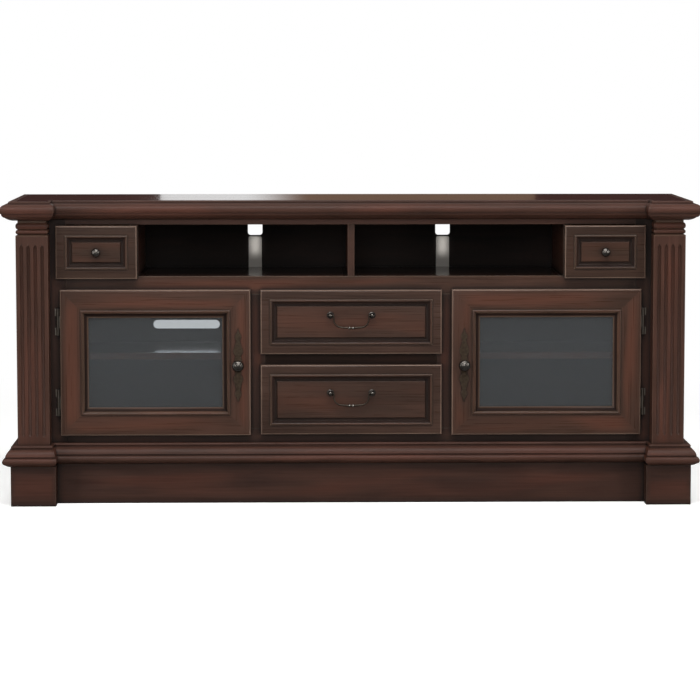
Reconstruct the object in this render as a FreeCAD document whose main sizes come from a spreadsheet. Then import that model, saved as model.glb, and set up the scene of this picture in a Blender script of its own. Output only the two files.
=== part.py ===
import FreeCAD, Part
import Sketcher

import math
import os
import re
from collections import namedtuple

# Traditional breakfront television console: fluted pilasters on plinth blocks, a mitred crown and
# base moulding, two glazed doors, two centre drawers with bails, and two small drawers beside an
# open bay. Millimetres. The origin is on the floor in the middle of the cabinet's box, +Z is up,
# +X is to the right as seen from the front, and the front faces -Y.

# Driving dimensions
SIZES = (
    ("overall_width", 1829, "across the crown and the base torus"),
    ("overall_depth", 480, "from the torus on the plinth blocks to the back edges"),
    ("overall_height", 800, "floor to top surface"),
    ("moulding_reach", 38.5, "crown nose and base torus beyond the pilaster's face"),
    ("plinth_reach", 18, "plinth beyond the pilaster's face"),
    ("block_inner_reach", 16, "plinth block beyond the pilaster's inner side"),
    ("inner_share", 0.5, "share of the mouldings' reach on the inner side of a pilaster"),
    ("pilaster_width", 84, "fluted shaft"),
    ("breakfront_step", 60, "pilaster face in front of the face frame"),
    ("plinth_height", 105, "plinth blocks and boards"),
    ("base_height", 55, "base moulding"),
    ("capital_height", 41, "capital in view below the crown"),
    ("capital_inset", 0.146, "core of the capital inside its mouldings, as a share of its height"),
    ("crown_height", 50, "crown moulding"),
    ("top_thickness", 25, "top panel"),
    ("side_thickness", 19, "side panels and lower partitions"),
    ("board_thickness", 18, "inner boards"),
    ("frame_thickness", 20, "face frame"),
    ("back_thickness", 6, "back panel"),
    ("back_inset", 8, "back panel inside the rear edges"),
    ("front_thickness", 20, "doors and drawer fronts"),
    ("front_gap", 2, "doors and drawer fronts in front of the face frame"),
    ("stile_inner", 751, "inner edge of the face frame's stiles"),
    ("mullion_inner", 226, "inner edge of the mullions"),
    ("mullion_outer", 278, "outer edge of the mullions"),
    ("bottom_rail_top", 196, "top of the bottom rail and of the bottom panel"),
    ("deck_rail_bottom", 552, "underside of the deck rail"),
    ("deck_top", 600, "floor of the open bay"),
    ("bay_top", 736, "ceiling of the open bay"),
    ("drawer_rail_bottom", 355, "rail between the centre drawers"),
    ("drawer_rail_top", 407, "rail between the centre drawers"),
    ("divider_inner", 560, "inner face of the boards beside the open bay"),
    ("flute_count", 4, "flutes on a pilaster"),
    ("flute_radius", 4.5, "half-round flute"),
    ("flute_taper", 9, "tapered end of a flute"),
    ("flute_pitch", 18, "flute spacing"),
    ("flute_bottom", 75, "lower flute ends above the plinth"),
    ("flute_top", 583, "upper flute ends above the plinth"),
    ("door_inner", 265, "door's knob edge from the middle"),
    ("door_outer", 766, "door's hinge edge from the middle"),
    ("door_bottom", 180, "lower edge of the doors"),
    ("door_top", 566, "upper edge of the doors"),
    ("member_width", 60, "door frame member"),
    ("edge_round", 5, "rounded front edge of doors and drawer fronts"),
    ("glazing_reach", 14.5, "glazing bead beyond its door member"),
    ("glazing_play", 0.3, "glazing bead clear of its door member"),
    ("glass_play", 1, "glass clear of the door members"),
    ("glass_thickness", 4, "door glass"),
    ("glass_back", 5, "back of the glass in front of the door's back"),
    ("drawer_half", 239, "half the width of a centre drawer front"),
    ("lower_drawer_bottom", 182, "lower centre drawer front"),
    ("lower_drawer_top", 367, "lower centre drawer front"),
    ("upper_drawer_bottom", 395, "upper centre drawer front"),
    ("upper_drawer_top", 565, "upper centre drawer front"),
    ("small_drawer_inner", 562, "small drawer front, inner edge"),
    ("small_drawer_outer", 776, "small drawer front, outer edge"),
    ("small_drawer_bottom", 594, "small drawer front"),
    ("small_drawer_top", 734, "small drawer front"),
    ("bead_border", 25, "drawer edge to its bead strips"),
    ("bead_width", 12, "drawer bead strip"),
    ("groove_depth", 6, "groove inside the bead strips"),
    ("groove_width", 5, "groove inside the bead strips"),
    ("panel_sink", 2, "raised panel behind the face of the drawer front"),
    ("box_clearance", 8, "drawer box inside its opening"),
    ("box_headroom", 12, "above a drawer box"),
    ("box_length", 330, "drawer box"),
    ("box_board", 12, "drawer box sides, front and back"),
    ("box_bottom", 6, "drawer bottom board"),
    ("box_bottom_rise", 10, "drawer bottom above the box's lower edge"),
    ("runner_gap", 0.5, "running gap under a drawer box"),
    ("runner_lap", 12, "runner under the drawer box"),
    ("shelf_top", 394, "upper face of the cupboard shelves"),
    ("shelf_setback", 22, "shelf edge behind the face frame"),
    ("shelf_play", 1, "shelf clear of the boards around it"),
    ("clip_width", 14, "shelf clip"),
    ("clip_reach", 12, "shelf clip, both arms"),
    ("clip_thickness", 1.5, "shelf clip"),
    ("clip_setback", 40, "shelf clip from the shelf's front or back edge"),
    ("cutout_width", 40, "cable cut-out"),
    ("cutout_bottom", 688, "cable cut-out"),
    ("cutout_top", 732, "cable cut-out"),
    ("cutout_corner", 8, "cable cut-out"),
    ("cutout_place", 258, "cable cut-out from the middle"),
    ("slot_length", 183, "vent slot"),
    ("slot_height", 24, "vent slot"),
    ("slot_place", 448, "vent slot from the middle"),
    ("slot_level", 442, "vent slot above the floor"),
    ("hinge_axis_out", 6, "hinge pin outside the door's edge"),
    ("hinge_axis_front", 5.7, "hinge pin in front of the face frame"),
    ("knuckle_radius", 4.5, "hinge barrel"),
    ("knuckle_bore", 2.3, "bore of the moving knuckle"),
    ("hinge_pin_radius", 2, "hinge pin"),
    ("barrel_height", 70, "hinge barrel"),
    ("knuckle_height", 30, "moving knuckle"),
    ("knuckle_gap", 0.6, "between knuckles"),
    ("leaf_thickness", 1.2, "hinge leaf"),
    ("leaf_width", 14, "hinge leaf"),
    ("lower_hinge", 266, "middle of the lower hinge"),
    ("upper_hinge", 480, "middle of the upper hinge"),
    ("door_knob_radius", 15.5, "door knob"),
    ("door_knob_length", 31, "door knob"),
    ("drawer_knob_radius", 12, "small drawer knob"),
    ("drawer_knob_length", 26, "small drawer knob"),
    ("knob_inset", 33, "door knob from the door's edge"),
    ("knob_level", 366, "door knob above the floor"),
    ("plate_half_width", 12.5, "door backplate"),
    ("plate_half_height", 98, "door backplate"),
    ("plate_thickness", 2.5, "door backplate"),
    ("post_spacing", 110, "between the posts of a bail"),
    ("post_rosette", 9, "foot of a bail post, radius"),
    ("post_pivot", 14, "bail's axis in front of the sunk field"),
    ("post_head", 5.5, "head of a bail post, radius"),
    ("post_bore", 2, "bore of a bail post, radius"),
    ("bail_wire", 1.7, "bail pin, radius"),
    ("bail_rise", 18, "bail's axis above the middle of its drawer"),
    ("bail_inset", 9, "bail arm inside its post"),
    ("bail_arm", 11, "bail's axis down to its shoulder"),
    ("bail_corner", 3, "bend at the bail's arm, radius"),
    ("bail_shoulder", 20, "bend at the bail's shoulder, radius"),
    ("bail_slope", 8, "bail's sweep at the shoulder, degrees"),
    ("foot_width", 40, "support foot"),
    ("foot_place", 420, "outer support feet from the middle"),
    ("catch_length", 46, "magnetic catch"),
    ("catch_height", 14, "magnetic catch"),
    ("catch_inset", 4, "magnetic catch from the edges of the door's opening"),
    ("catch_gap", 1, "magnet to strike plate"),
)

# Planes of the carcass, as expressions of the driving dimensions
FACE = "(overall_width / 2 - moulding_reach)"
FRONT = "(moulding_reach - overall_depth / 2)"
BACK = "(overall_depth / 2)"
FRAME_FRONT = f"({FRONT} + breakfront_step)"
FRAME_BACK = f"({FRAME_FRONT} + frame_thickness)"
INNER_BACK = f"({BACK} - back_inset - back_thickness)"
FRONTS_BACK = f"({FRAME_FRONT} - front_gap)"
FRONTS_FACE = f"({FRONTS_BACK} - front_thickness)"
SIDE_INNER = f"({FACE} - side_thickness)"
SHAFT_INNER = f"({FACE} - pilaster_width)"
TOP_UNDER = "(overall_height - top_thickness)"
CROWN_UNDER = "(overall_height - crown_height)"
CAPITAL_BOTTOM = f"({CROWN_UNDER} - capital_height)"
BASE_TOP = "(plinth_height + base_height)"
BLOCK_INNER = f"({SHAFT_INNER} - block_inner_reach)"
DECK_UNDER = "(deck_top - board_thickness)"
MULLION_MIDDLE = "((mullion_inner + mullion_outer) / 2)"
PARTITION_INNER = f"({MULLION_MIDDLE} - side_thickness / 2)"
PARTITION_OUTER = f"({MULLION_MIDDLE} + side_thickness / 2)"
DIVIDER_OUTER = "(divider_inner + board_thickness)"
SHELF_FRONT = f"({FRAME_BACK} + shelf_setback)"
FIELD_FACE = f"({FRONTS_FACE} + panel_sink)"

SIDES = {"left": -1, "right": 1}
UP = FreeCAD.Vector(0, 0, 1)
TOWARDS_FRONT = FreeCAD.Vector(0, -1, 0)

# Middle point of an arc between its two neighbours in a profile
Via = namedtuple("Via", "along rise")

doc = FreeCAD.newDocument("tv_console")
sheet = doc.addObject("Spreadsheet::Sheet", "Sizes")
nodes = []


def fill_sheet():
    """Write the driving dimensions to the sheet, one to a row."""
    for row, (alias, value, meaning) in enumerate(SIZES, start=1):
        sheet.set(f"A{row}", meaning)
        sheet.set(f"B{row}", str(value))
        sheet.setAlias(f"B{row}", alias)
    doc.recompute()


ALIASES = {alias for alias, _, _ in SIZES}


def bound(text):
    """Give each driving dimension in an expression its full name."""
    return re.sub(
        r"[a-z_]+",
        lambda word: f"Sizes.{word.group(0)}" if word.group(0) in ALIASES else word.group(0),
        str(text),
    )


def number(text):
    """Value of an expression of the driving dimensions."""
    return float(sheet.evalExpression(str(text)))


def vector(x, y, z):
    """Point or direction from three expressions."""
    return FreeCAD.Vector(number(x), number(y), number(z))


def node(item, name):
    """Name a finished sub-part and keep it for writing."""
    item.Label = name
    nodes.append(item)
    return item


def place(item, x, y, z):
    """Bind the place of a sub-part."""
    for axis, text in zip("xyz", (x, y, z)):
        item.setExpression(f"Placement.Base.{axis}", bound(text))
    return item


def span(side, near, far):
    """Low and high plane of a piece on the left (-1) or right (1), measured from the middle."""
    if side > 0:
        return near, far
    return f"-({far})", f"-({near})"


def board(name, x, y, z):
    """Board between three pairs of planes."""
    item = doc.addObject("Part::Box", name)
    for size, (low, high) in zip(("Length", "Width", "Height"), (x, y, z)):
        item.setExpression(size, bound(f"({high}) - ({low})"))
    return place(item, x[0], y[0], z[0])


def rod(name, radius, length, foot, turn=FreeCAD.Rotation()):
    """Round bar from its foot along +Z, or along +Z turned."""
    item = doc.addObject("Part::Cylinder", name)
    item.Placement = FreeCAD.Placement(FreeCAD.Vector(), turn)
    item.setExpression("Radius", bound(radius))
    item.setExpression("Height", bound(length))
    return place(item, *foot)


def group(name, members):
    """Node of several separate solids."""
    item = doc.addObject("Part::Compound", name)
    item.Links = members
    return node(item, name)


def edges_through(points, spots, closed):
    """Lines and arcs through spots; a spot whose point is a Via is the middle of an arc."""
    count = len(points) if closed else len(points) - 1
    edges = []
    index = 0
    while index < count:
        after = (index + 1) % len(points)
        if isinstance(points[after], Via):
            end = (index + 2) % len(points)
            edges.append(Part.Arc(spots[index], spots[after], spots[end]).toShape())
            index += 2
        else:
            edges.append(Part.LineSegment(spots[index], spots[after]).toShape())
            index += 1
    return edges


def profile(points, width, height):
    """Closed outline in the XY plane through points given as shares of a width and a height."""
    scale_x = number(width)
    scale_y = number(height)
    spots = [FreeCAD.Vector(point[0] * scale_x, point[1] * scale_y, 0) for point in points]
    return Part.Wire(edges_through(points, spots, closed=True))


def square_reach(corner, along):
    """The part of a corner's reach that is square to a run."""
    reach = corner[1]
    return reach - along * reach.dot(along)


def mitred_length(first, second, rise, section):
    """One straight length of a moulding, cut on the mitre at both of its corners.

    The section is (points, width, height); its width follows the corner's reach.
    """
    points, width, height = section
    run = second[0] - first[0]
    along = FreeCAD.Vector(run).normalize()
    across = square_reach(first, along)
    wire = profile(points, f"{width} * {across.Length}", height)
    box = wire.BoundBox
    spare = 2 * max(abs(limit) for limit in (box.XMin, box.XMax, box.YMin, box.YMax))
    across.normalize()
    normal = across.cross(rise)
    spot = first[0] - along * spare
    wire.transformShape(FreeCAD.Matrix(
        across.x, rise.x, normal.x, spot.x,
        across.y, rise.y, normal.y, spot.y,
        across.z, rise.z, normal.z, spot.z,
        0, 0, 0, 1,
    ))
    length = Part.Face(wire).extrude(along * (run.Length + 2 * spare))
    middle = first[0] + run / 2
    size = 4 * spare
    for spot, reach in (first, second):
        normal = reach.cross(rise)
        side = FreeCAD.Vector(reach).normalize()
        corner = spot - (side + rise) * (size / 2)
        saw = Part.Face(Part.makePolygon([
            corner, corner + side * size, corner + (side + rise) * size, corner + rise * size, corner,
        ]))
        away = -size if normal.dot(middle - spot) > 0 else size
        length = length.cut(saw.extrude(normal.normalize() * away))
    return length.Solids[0]


def mitred_lengths(name, corners, rise, section):
    """Straight lengths of a moulding, cut on the mitre at each corner of its run."""
    item = doc.addObject("Part::Feature", name)
    item.Shape = Part.makeCompound(
        [mitred_length(*ends, rise, section) for ends in zip(corners, corners[1:])])
    return item


def frame_corners(x, z, plane):
    """Corners of an upright rectangle, with reaches pointing into it, for a run all round."""
    x_low, x_high = number(x[0]), number(x[1])
    z_low, z_high = number(z[0]), number(z[1])
    y = number(plane)
    corners = [
        (FreeCAD.Vector(x_low, y, z_low), FreeCAD.Vector(1, 0, 1)),
        (FreeCAD.Vector(x_high, y, z_low), FreeCAD.Vector(-1, 0, 1)),
        (FreeCAD.Vector(x_high, y, z_high), FreeCAD.Vector(-1, 0, -1)),
        (FreeCAD.Vector(x_low, y, z_high), FreeCAD.Vector(1, 0, -1)),
    ]
    return corners + corners[:1]


def breakfront_corners(level):
    """Run along the left side, round both breakfront steps and back along the right side."""
    face = number(FACE)
    inner = number(SHAFT_INNER)
    front = number(FRONT)
    frame = number(FRAME_FRONT)
    back = number(BACK)
    share = number("inner_share")
    z = number(level)
    half = [
        (face, back, 1, 0),
        (face, front, 1, -1),
        (inner, front, -share, -1),
        (inner, frame, -share, -1),
    ]
    left = [(-x, y, -reach_x, reach_y) for x, y, reach_x, reach_y in half]
    return [
        (FreeCAD.Vector(x, y, z), FreeCAD.Vector(reach_x, reach_y, 0))
        for x, y, reach_x, reach_y in left + half[::-1]
    ]


def origin_part(body, role):
    """Origin plane or axis of a body."""
    return next(part for part in body.Origin.OriginFeatures if part.Role == role)


def arc_middle(start, end, radius, bulge):
    """Middle of a minor arc that bulges to the left (1) or right (-1) of its run."""
    chord = end - start
    sagitta = radius - math.sqrt(max(radius ** 2 - (chord.Length / 2) ** 2, 0))
    left = FreeCAD.Vector(-chord.y, chord.x, 0).normalize()
    return (start + end) / 2 + left * sagitta * bulge


def outline(body, name, plane, points, lift="0"):
    """Closed sketch through points; a point with a radius and a bulge starts an arc."""
    sketch = body.newObject("Sketcher::SketchObject", name)
    sketch.AttachmentSupport = [(origin_part(body, plane), "")]
    sketch.MapMode = "FlatFace"
    sketch.setExpression("AttachmentOffset.Base.z", bound(lift))
    spots = [FreeCAD.Vector(number(point[0]), number(point[1]), 0) for point in points]
    count = len(points)
    for index, point in enumerate(points):
        start = spots[index]
        end = spots[(index + 1) % count]
        if len(point) == 2:
            sketch.addGeometry(Part.LineSegment(start, end))
        else:
            middle = arc_middle(start, end, number(point[2]), point[3])
            sketch.addGeometry(Part.Arc(start, middle, end))
    for index, point in enumerate(points):
        before = (index - 1) % count
        starts_at = end_nearest(sketch, index, spots[index])
        sketch.addConstraint(Sketcher.Constraint(
            "Coincident", before, end_nearest(sketch, before, spots[index]), index, starts_at))
        for kind, text, value in (
            ("DistanceX", point[0], spots[index].x),
            ("DistanceY", point[1], spots[index].y),
        ):
            constraint = sketch.addConstraint(
                Sketcher.Constraint(kind, -1, 1, index, starts_at, value))
            sketch.setExpression(f"Constraints[{constraint}]", bound(text))
        if len(point) > 2:
            constraint = sketch.addConstraint(
                Sketcher.Constraint("Radius", index, number(point[2])))
            sketch.setExpression(f"Constraints[{constraint}]", bound(point[2]))
    return sketch


def end_nearest(sketch, geometry, spot):
    """Which end of a sketch edge, 1 or 2, lies at a spot."""
    first = sketch.getPoint(geometry, 1)
    second = sketch.getPoint(geometry, 2)
    return 1 if first.distanceToPoint(spot) <= second.distanceToPoint(spot) else 2


def rectangle(x, y):
    """Corners of a rectangle between two pairs of expressions."""
    return [(x[0], y[0]), (x[1], y[0]), (x[1], y[1]), (x[0], y[1])]


def new_body(name):
    """Empty body for a piece made from sketches."""
    return doc.addObject("PartDesign::Body", name)


def pad(body, name, sketch, length, backwards=False):
    """Solid of a sketch's outline."""
    feature = body.newObject("PartDesign::Pad", name)
    feature.Profile = sketch
    feature.setExpression("Length", bound(length))
    feature.Reversed = backwards
    doc.recompute()
    return feature


def cut(body, name, sketch, both_ways=True, length=None, backwards=False):
    """Remove a sketch's outline, and make sure that something was removed."""
    volume = body.Shape.Volume
    feature = body.newObject("PartDesign::Pocket", name)
    feature.Profile = sketch
    if length is None:
        feature.Type = "ThroughAll"
    else:
        feature.setExpression("Length", bound(length))
    if both_ways:
        feature.SideType = "Symmetric"
    feature.Reversed = backwards
    doc.recompute()
    if body.Shape.Volume > volume - 1:
        raise RuntimeError(f"{name} removed nothing")
    return feature


def turned(name, points):
    """Solid turned about its own Y axis, which points to the front once placed."""
    body = new_body(name)
    sketch = outline(body, f"{name}_section", "XY_Plane", points)
    feature = body.newObject("PartDesign::Revolution", f"{name}_turning")
    feature.Profile = sketch
    feature.ReferenceAxis = (sketch, ["V_Axis"])
    feature.Angle = 360
    body.Placement.Rotation = FreeCAD.Rotation(UP, 180)
    doc.recompute()
    return body


# Carcass boards
def carcass():
    """Panels, partitions, dividers and shelves."""
    depth = (FRAME_BACK, INNER_BACK)
    inside = (f"-{SIDE_INNER}", SIDE_INNER)
    for name, side in SIDES.items():
        node(board(f"side_panel_{name}", span(side, SIDE_INNER, FACE), (FRAME_BACK, BACK),
                   ("0", TOP_UNDER)), f"side_panel_{name}")
        node(board(f"partition_{name}", span(side, PARTITION_INNER, PARTITION_OUTER), depth,
                   ("bottom_rail_top", DECK_UNDER)), f"partition_{name}")
        node(board(f"drawer_divider_{name}", span(side, "divider_inner", DIVIDER_OUTER),
                   (FRAME_FRONT, INNER_BACK), ("deck_top", "bay_top")), f"drawer_divider_{name}")
        node(board(f"shelf_{name}",
                   span(side, f"{PARTITION_OUTER} + shelf_play", f"{SIDE_INNER} - shelf_play"),
                   (SHELF_FRONT, f"{INNER_BACK} - shelf_play"),
                   ("shelf_top - board_thickness", "shelf_top")), f"shelf_{name}")
    node(board("bottom_panel", inside, depth,
               ("bottom_rail_top - side_thickness", "bottom_rail_top")), "bottom_panel")
    node(board("deck_panel", inside, depth, (DECK_UNDER, "deck_top")), "deck_panel")
    node(board("sub_top_panel", inside, depth, ("bay_top", "bay_top + board_thickness")),
         "sub_top_panel")
    node(board("bay_divider", ("-board_thickness / 2", "board_thickness / 2"),
               (FRAME_FRONT, INNER_BACK), ("deck_top", "bay_top")), "bay_divider")


def top_panel():
    """Top board with the breakfront outline of the crown's inner edge."""
    body = new_body("top_panel")
    half = [(FACE, BACK), (FACE, FRONT), (SHAFT_INNER, FRONT), (SHAFT_INNER, FRAME_FRONT)]
    left = [(f"-{x}", y) for x, y in half]
    sketch = outline(body, "top_outline", "XY_Plane", left + half[::-1])
    pad(body, "top_board", sketch, "top_thickness")
    place(body, "0", "0", TOP_UNDER)
    node(body, "top_panel")


def back_panel():
    """Back board with two cable cut-outs and one vent slot behind the left cupboard."""
    body = new_body("back_panel")
    sheet_outline = rectangle((f"-{SIDE_INNER}", SIDE_INNER), ("plinth_height", TOP_UNDER))
    pad(body, "back_board", outline(body, "back_outline", "XZ_Plane", sheet_outline),
        "back_thickness")
    for name, side in SIDES.items():
        x = span(side, "cutout_place - cutout_width / 2", "cutout_place + cutout_width / 2")
        corner = "cutout_corner"
        points = [
            (f"{x[0]} + {corner}", "cutout_bottom"),
            (f"{x[1]} - {corner}", "cutout_bottom", corner, -1),
            (x[1], f"cutout_bottom + {corner}"),
            (x[1], f"cutout_top - {corner}", corner, -1),
            (f"{x[1]} - {corner}", "cutout_top"),
            (f"{x[0]} + {corner}", "cutout_top", corner, -1),
            (x[0], f"cutout_top - {corner}"),
            (x[0], f"cutout_bottom + {corner}", corner, -1),
        ]
        cut(body, f"cable_cutout_{name}",
            outline(body, f"cable_cutout_outline_{name}", "XZ_Plane", points))
    radius = "slot_height / 2"
    near = f"{radius} - slot_length / 2 - slot_place"
    far = f"slot_length / 2 - {radius} - slot_place"
    slot = [
        (near, f"slot_level - {radius}"),
        (far, f"slot_level - {radius}", radius, -1),
        (f"{far} + {radius}", "slot_level", radius, -1),
        (far, f"slot_level + {radius}"),
        (near, f"slot_level + {radius}", radius, -1),
        (f"{near} - {radius}", "slot_level", radius, -1),
    ]
    cut(body, "vent_slot", outline(body, "vent_slot_outline", "XZ_Plane", slot))
    place(body, "0", f"{INNER_BACK} + back_thickness", "0")
    node(body, "back_panel")


def shelf_clips():
    """Two angle clips at each end of each shelf: a plate on the wall and one under the shelf."""
    members = []
    top = "(shelf_top - board_thickness)"
    for name, side in SIDES.items():
        low, high = span(side, PARTITION_OUTER, SIDE_INNER)
        for row, middle in enumerate((f"{SHELF_FRONT} + clip_setback", f"{INNER_BACK} - clip_setback")):
            y = (f"{middle} - clip_width / 2", f"{middle} + clip_width / 2")
            for end, wall, inwards in (("low", low, 1), ("high", high, -1)):
                tag = f"{name}_{end}_{row}"
                wall_plate = sorted((wall, f"{wall} + {inwards} * clip_thickness"), key=number)
                arm = sorted((f"{wall} + {inwards} * clip_thickness", f"{wall} + {inwards} * clip_reach"),
                             key=number)
                members.append(board(f"clip_plate_{tag}", wall_plate, y, (f"{top} - clip_reach", top)))
                members.append(board(f"clip_arm_{tag}", arm, y, (f"{top} - clip_thickness", top)))
    group("shelf_clips", members)


def support_feet():
    """Square feet under the long bottom panel, hidden by the plinth."""
    z = ("0", "bottom_rail_top - side_thickness")
    y = ("-foot_width / 2", "foot_width / 2")
    feet = [board(f"foot_{index}", (f"{x} - foot_width / 2", f"{x} + foot_width / 2"), y, z)
            for index, x in enumerate(("-foot_place", "0", "foot_place"))]
    group("support_feet", feet)


# Face frame
def face_frame():
    """Stiles, mullions and rails."""
    y = (FRAME_FRONT, FRAME_BACK)
    between = ("-stile_inner", "stile_inner")
    group("stiles", [board(f"stile_{name}", span(side, "stile_inner", FACE), y, ("0", TOP_UNDER))
                     for name, side in SIDES.items()])
    group("mullions", [board(f"mullion_{name}", span(side, "mullion_inner", "mullion_outer"), y,
                             ("bottom_rail_top", "deck_rail_bottom"))
                       for name, side in SIDES.items()])
    rails = {
        "bottom_rail": (between, ("plinth_height", "bottom_rail_top")),
        "deck_rail": (between, ("deck_rail_bottom", "deck_top")),
        "top_rail": (between, ("bay_top", TOP_UNDER)),
        "drawer_rail": (("-mullion_inner", "mullion_inner"),
                        ("drawer_rail_bottom", "drawer_rail_top")),
    }
    for name, (x, z) in rails.items():
        node(board(name, x, y, z), name)


# Pilasters, plinth and mouldings
def pilaster(name, side):
    """Fluted shaft that stands on the plinth block, inside the base moulding."""
    body = new_body(f"pilaster_{name}")
    half = "pilaster_width / 2"
    shaft = rectangle((f"-{half}", half), ("0", "breakfront_step"))
    height = f"{CAPITAL_BOTTOM} - plinth_height"
    pad(body, f"shaft_{name}", outline(body, f"shaft_outline_{name}", "XY_Plane", shaft), height)
    volume = body.Shape.Volume
    section = [
        ("0", "flute_bottom"), ("flute_radius", "flute_bottom + flute_taper"),
        ("flute_radius", "flute_top - flute_taper"), ("0", "flute_top"),
    ]
    flute = body.newObject("PartDesign::Groove", f"flute_{name}")
    flute.Profile = outline(body, f"flute_section_{name}", "YZ_Plane", section,
                            "-flute_pitch * (flute_count - 1) / 2")
    flute.ReferenceAxis = (flute.Profile[0], ["V_Axis"])
    flute.Angle = 360
    doc.recompute()
    flutes = body.newObject("PartDesign::LinearPattern", f"flutes_{name}")
    flutes.Originals = [flute]
    flutes.Direction = (origin_part(body, "X_Axis"), [""])
    flutes.setExpression("Length", bound("flute_pitch * (flute_count - 1)"))
    flutes.setExpression("Occurrences", bound("flute_count"))
    body.Tip = flutes
    doc.recompute()
    if body.Shape.Volume > volume - 1:
        raise RuntimeError("the flutes removed nothing")
    place(body, f"{side} * ({FACE} - {half})", FRONT, "plinth_height")
    node(body, f"pilaster_{name}")


def capital(name, side):
    """Head of a pilaster: a core with grooves, an astragal and a torus band round three sides."""
    inset = "capital_height * capital_inset"
    core = board(f"capital_core_{name}", span(side, f"{SHAFT_INNER} + {inset}", f"{FACE} - {inset}"),
                 (f"{FRONT} + {inset}", FRAME_FRONT), (CAPITAL_BOTTOM, TOP_UNDER))
    depth = number("capital_inset")
    section = ((
        (-depth, 0), (0, 0), (0, 0.03), (-0.13, 0.1), (-0.06, 0.15), Via(-0.01, 0.26), (-0.06, 0.37),
        (-0.13, 0.42), (-0.06, 0.47), Via(-0.005, 0.64), (-0.06, 0.8), (-0.13, 0.85), (-0.13, 1),
        (-depth, 1),
    ), "capital_height", "capital_height")
    run = [
        (vector(f"{side} * {FACE}", FRAME_FRONT, CAPITAL_BOTTOM), FreeCAD.Vector(side, 0, 0)),
        (vector(f"{side} * {FACE}", FRONT, CAPITAL_BOTTOM), FreeCAD.Vector(side, -1, 0)),
        (vector(f"{side} * {SHAFT_INNER}", FRONT, CAPITAL_BOTTOM), FreeCAD.Vector(-side, -1, 0)),
        (vector(f"{side} * {SHAFT_INNER}", FRAME_FRONT, CAPITAL_BOTTOM),
         FreeCAD.Vector(-side, 0, 0)),
    ]
    moulding = mitred_lengths(f"capital_moulding_{name}", run, UP, section)
    group(f"capital_{name}", [core, moulding])


def plinth():
    """Plinth blocks under the pilasters, and the boards between and behind them."""
    low = ("0", "plinth_height")
    outer = f"{FACE} + plinth_reach"
    boards = [board("plinth_front", (f"-{BLOCK_INNER}", BLOCK_INNER),
                    (f"{FRAME_FRONT} - plinth_reach", FRAME_FRONT), low)]
    for name, side in SIDES.items():
        node(board(f"plinth_block_{name}", span(side, BLOCK_INNER, outer),
                   (f"{FRONT} - plinth_reach", FRAME_FRONT), low), f"plinth_block_{name}")
        boards.append(board(f"plinth_side_{name}", span(side, FACE, outer), (FRAME_FRONT, BACK), low))
    group("plinth_boards", boards)


def crown_moulding():
    """Cyma under a broad nose, and a small arris above it round the top, in mitred lengths."""
    section = ((
        (0, 0), (0.16, 0), Via(0.42, 0.06), (0.66, 0.17), Via(0.82, 0.25), (0.87, 0.37), (0.94, 0.38),
        Via(1, 0.53), (0.95, 0.68), Via(0.8, 0.8), (0.52, 0.86), (0.43, 0.88), (0.43, 0.95), (0.4, 1),
        (0, 1),
    ), "moulding_reach", "crown_height")
    node(mitred_lengths("crown_moulding", breakfront_corners(CROWN_UNDER), UP, section),
         "crown_moulding")


def base_moulding():
    """Cove, torus, swept cap and small bead on the plinth, in mitred lengths."""
    ledge = number("plinth_reach / moulding_reach")
    section = ((
        (0, 0), (ledge, 0), Via(0.62, 0.03), (0.8, 0.1), (0.86, 0.12), Via(1, 0.27), (0.86, 0.42),
        (0.76, 0.43), (0.76, 0.48), (0.8, 0.49), Via(0.68, 0.69), (0.45, 0.82), (0.4, 0.83), (0.4, 0.87),
        Via(0.44, 0.94), (0.37, 1), (0, 1),
    ), "moulding_reach", "base_height")
    node(mitred_lengths("base_moulding", breakfront_corners("plinth_height"), UP, section),
         "base_moulding")


# Doors
def door(name, side):
    """Glazed door: mitred members, glazing beads, glass, knob, backplate and hinge leaves."""
    x = span(side, "door_inner", "door_outer")
    z = ("door_bottom", "door_top")
    corners = frame_corners(x, z, FRONTS_BACK)
    width = number("member_width")
    thick = number("front_thickness")
    rounding = number("edge_round")
    ease = rounding * (1 - math.sqrt(0.5))
    member = ((
        (0, 0), (width, 0), (width, thick), (rounding, thick), Via(ease, thick - ease),
        (0, thick - rounding),
    ), "1", "1")
    node(mitred_lengths(f"{name}_door_frame", corners, TOWARDS_FRONT, member), f"{name}_door_frame")
    opening_x = (f"{x[0]} + member_width", f"{x[1]} - member_width")
    opening_z = (f"{z[0]} + member_width", f"{z[1]} - member_width")
    play = number("glazing_play / glazing_reach")
    seat = number("(glass_back + glass_thickness - front_thickness) / glazing_reach")
    bead = ((
        (-0.41, 0), Via(-0.255, 0.283), (0, 0.234), (0.069, 0.138), Via(0.414, -0.317),
        (0.897, -0.517), (1, -0.517), (1, seat), (play, seat), (play, 0),
    ), "glazing_reach", "glazing_reach")
    node(mitred_lengths(f"{name}_door_bead", frame_corners(opening_x, opening_z, FRONTS_FACE),
                        TOWARDS_FRONT, bead), f"{name}_door_bead")
    glass_x = (f"{opening_x[0]} + glass_play", f"{opening_x[1]} - glass_play")
    glass_z = (f"{opening_z[0]} + glass_play", f"{opening_z[1]} - glass_play")
    node(board(f"{name}_door_glass", glass_x,
               (f"{FRONTS_BACK} - glass_back - glass_thickness", f"{FRONTS_BACK} - glass_back"),
               glass_z), f"{name}_door_glass")
    knob_x = f"{side} * (door_inner + knob_inset)"
    plate_face = f"{FRONTS_FACE} - plate_thickness"
    door_plate(name, knob_x)
    handle = knob(f"{name}_door_knob", "door_knob_radius", "door_knob_length")
    place(handle, knob_x, plate_face, "knob_level")
    door_fittings(name, side)


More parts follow.
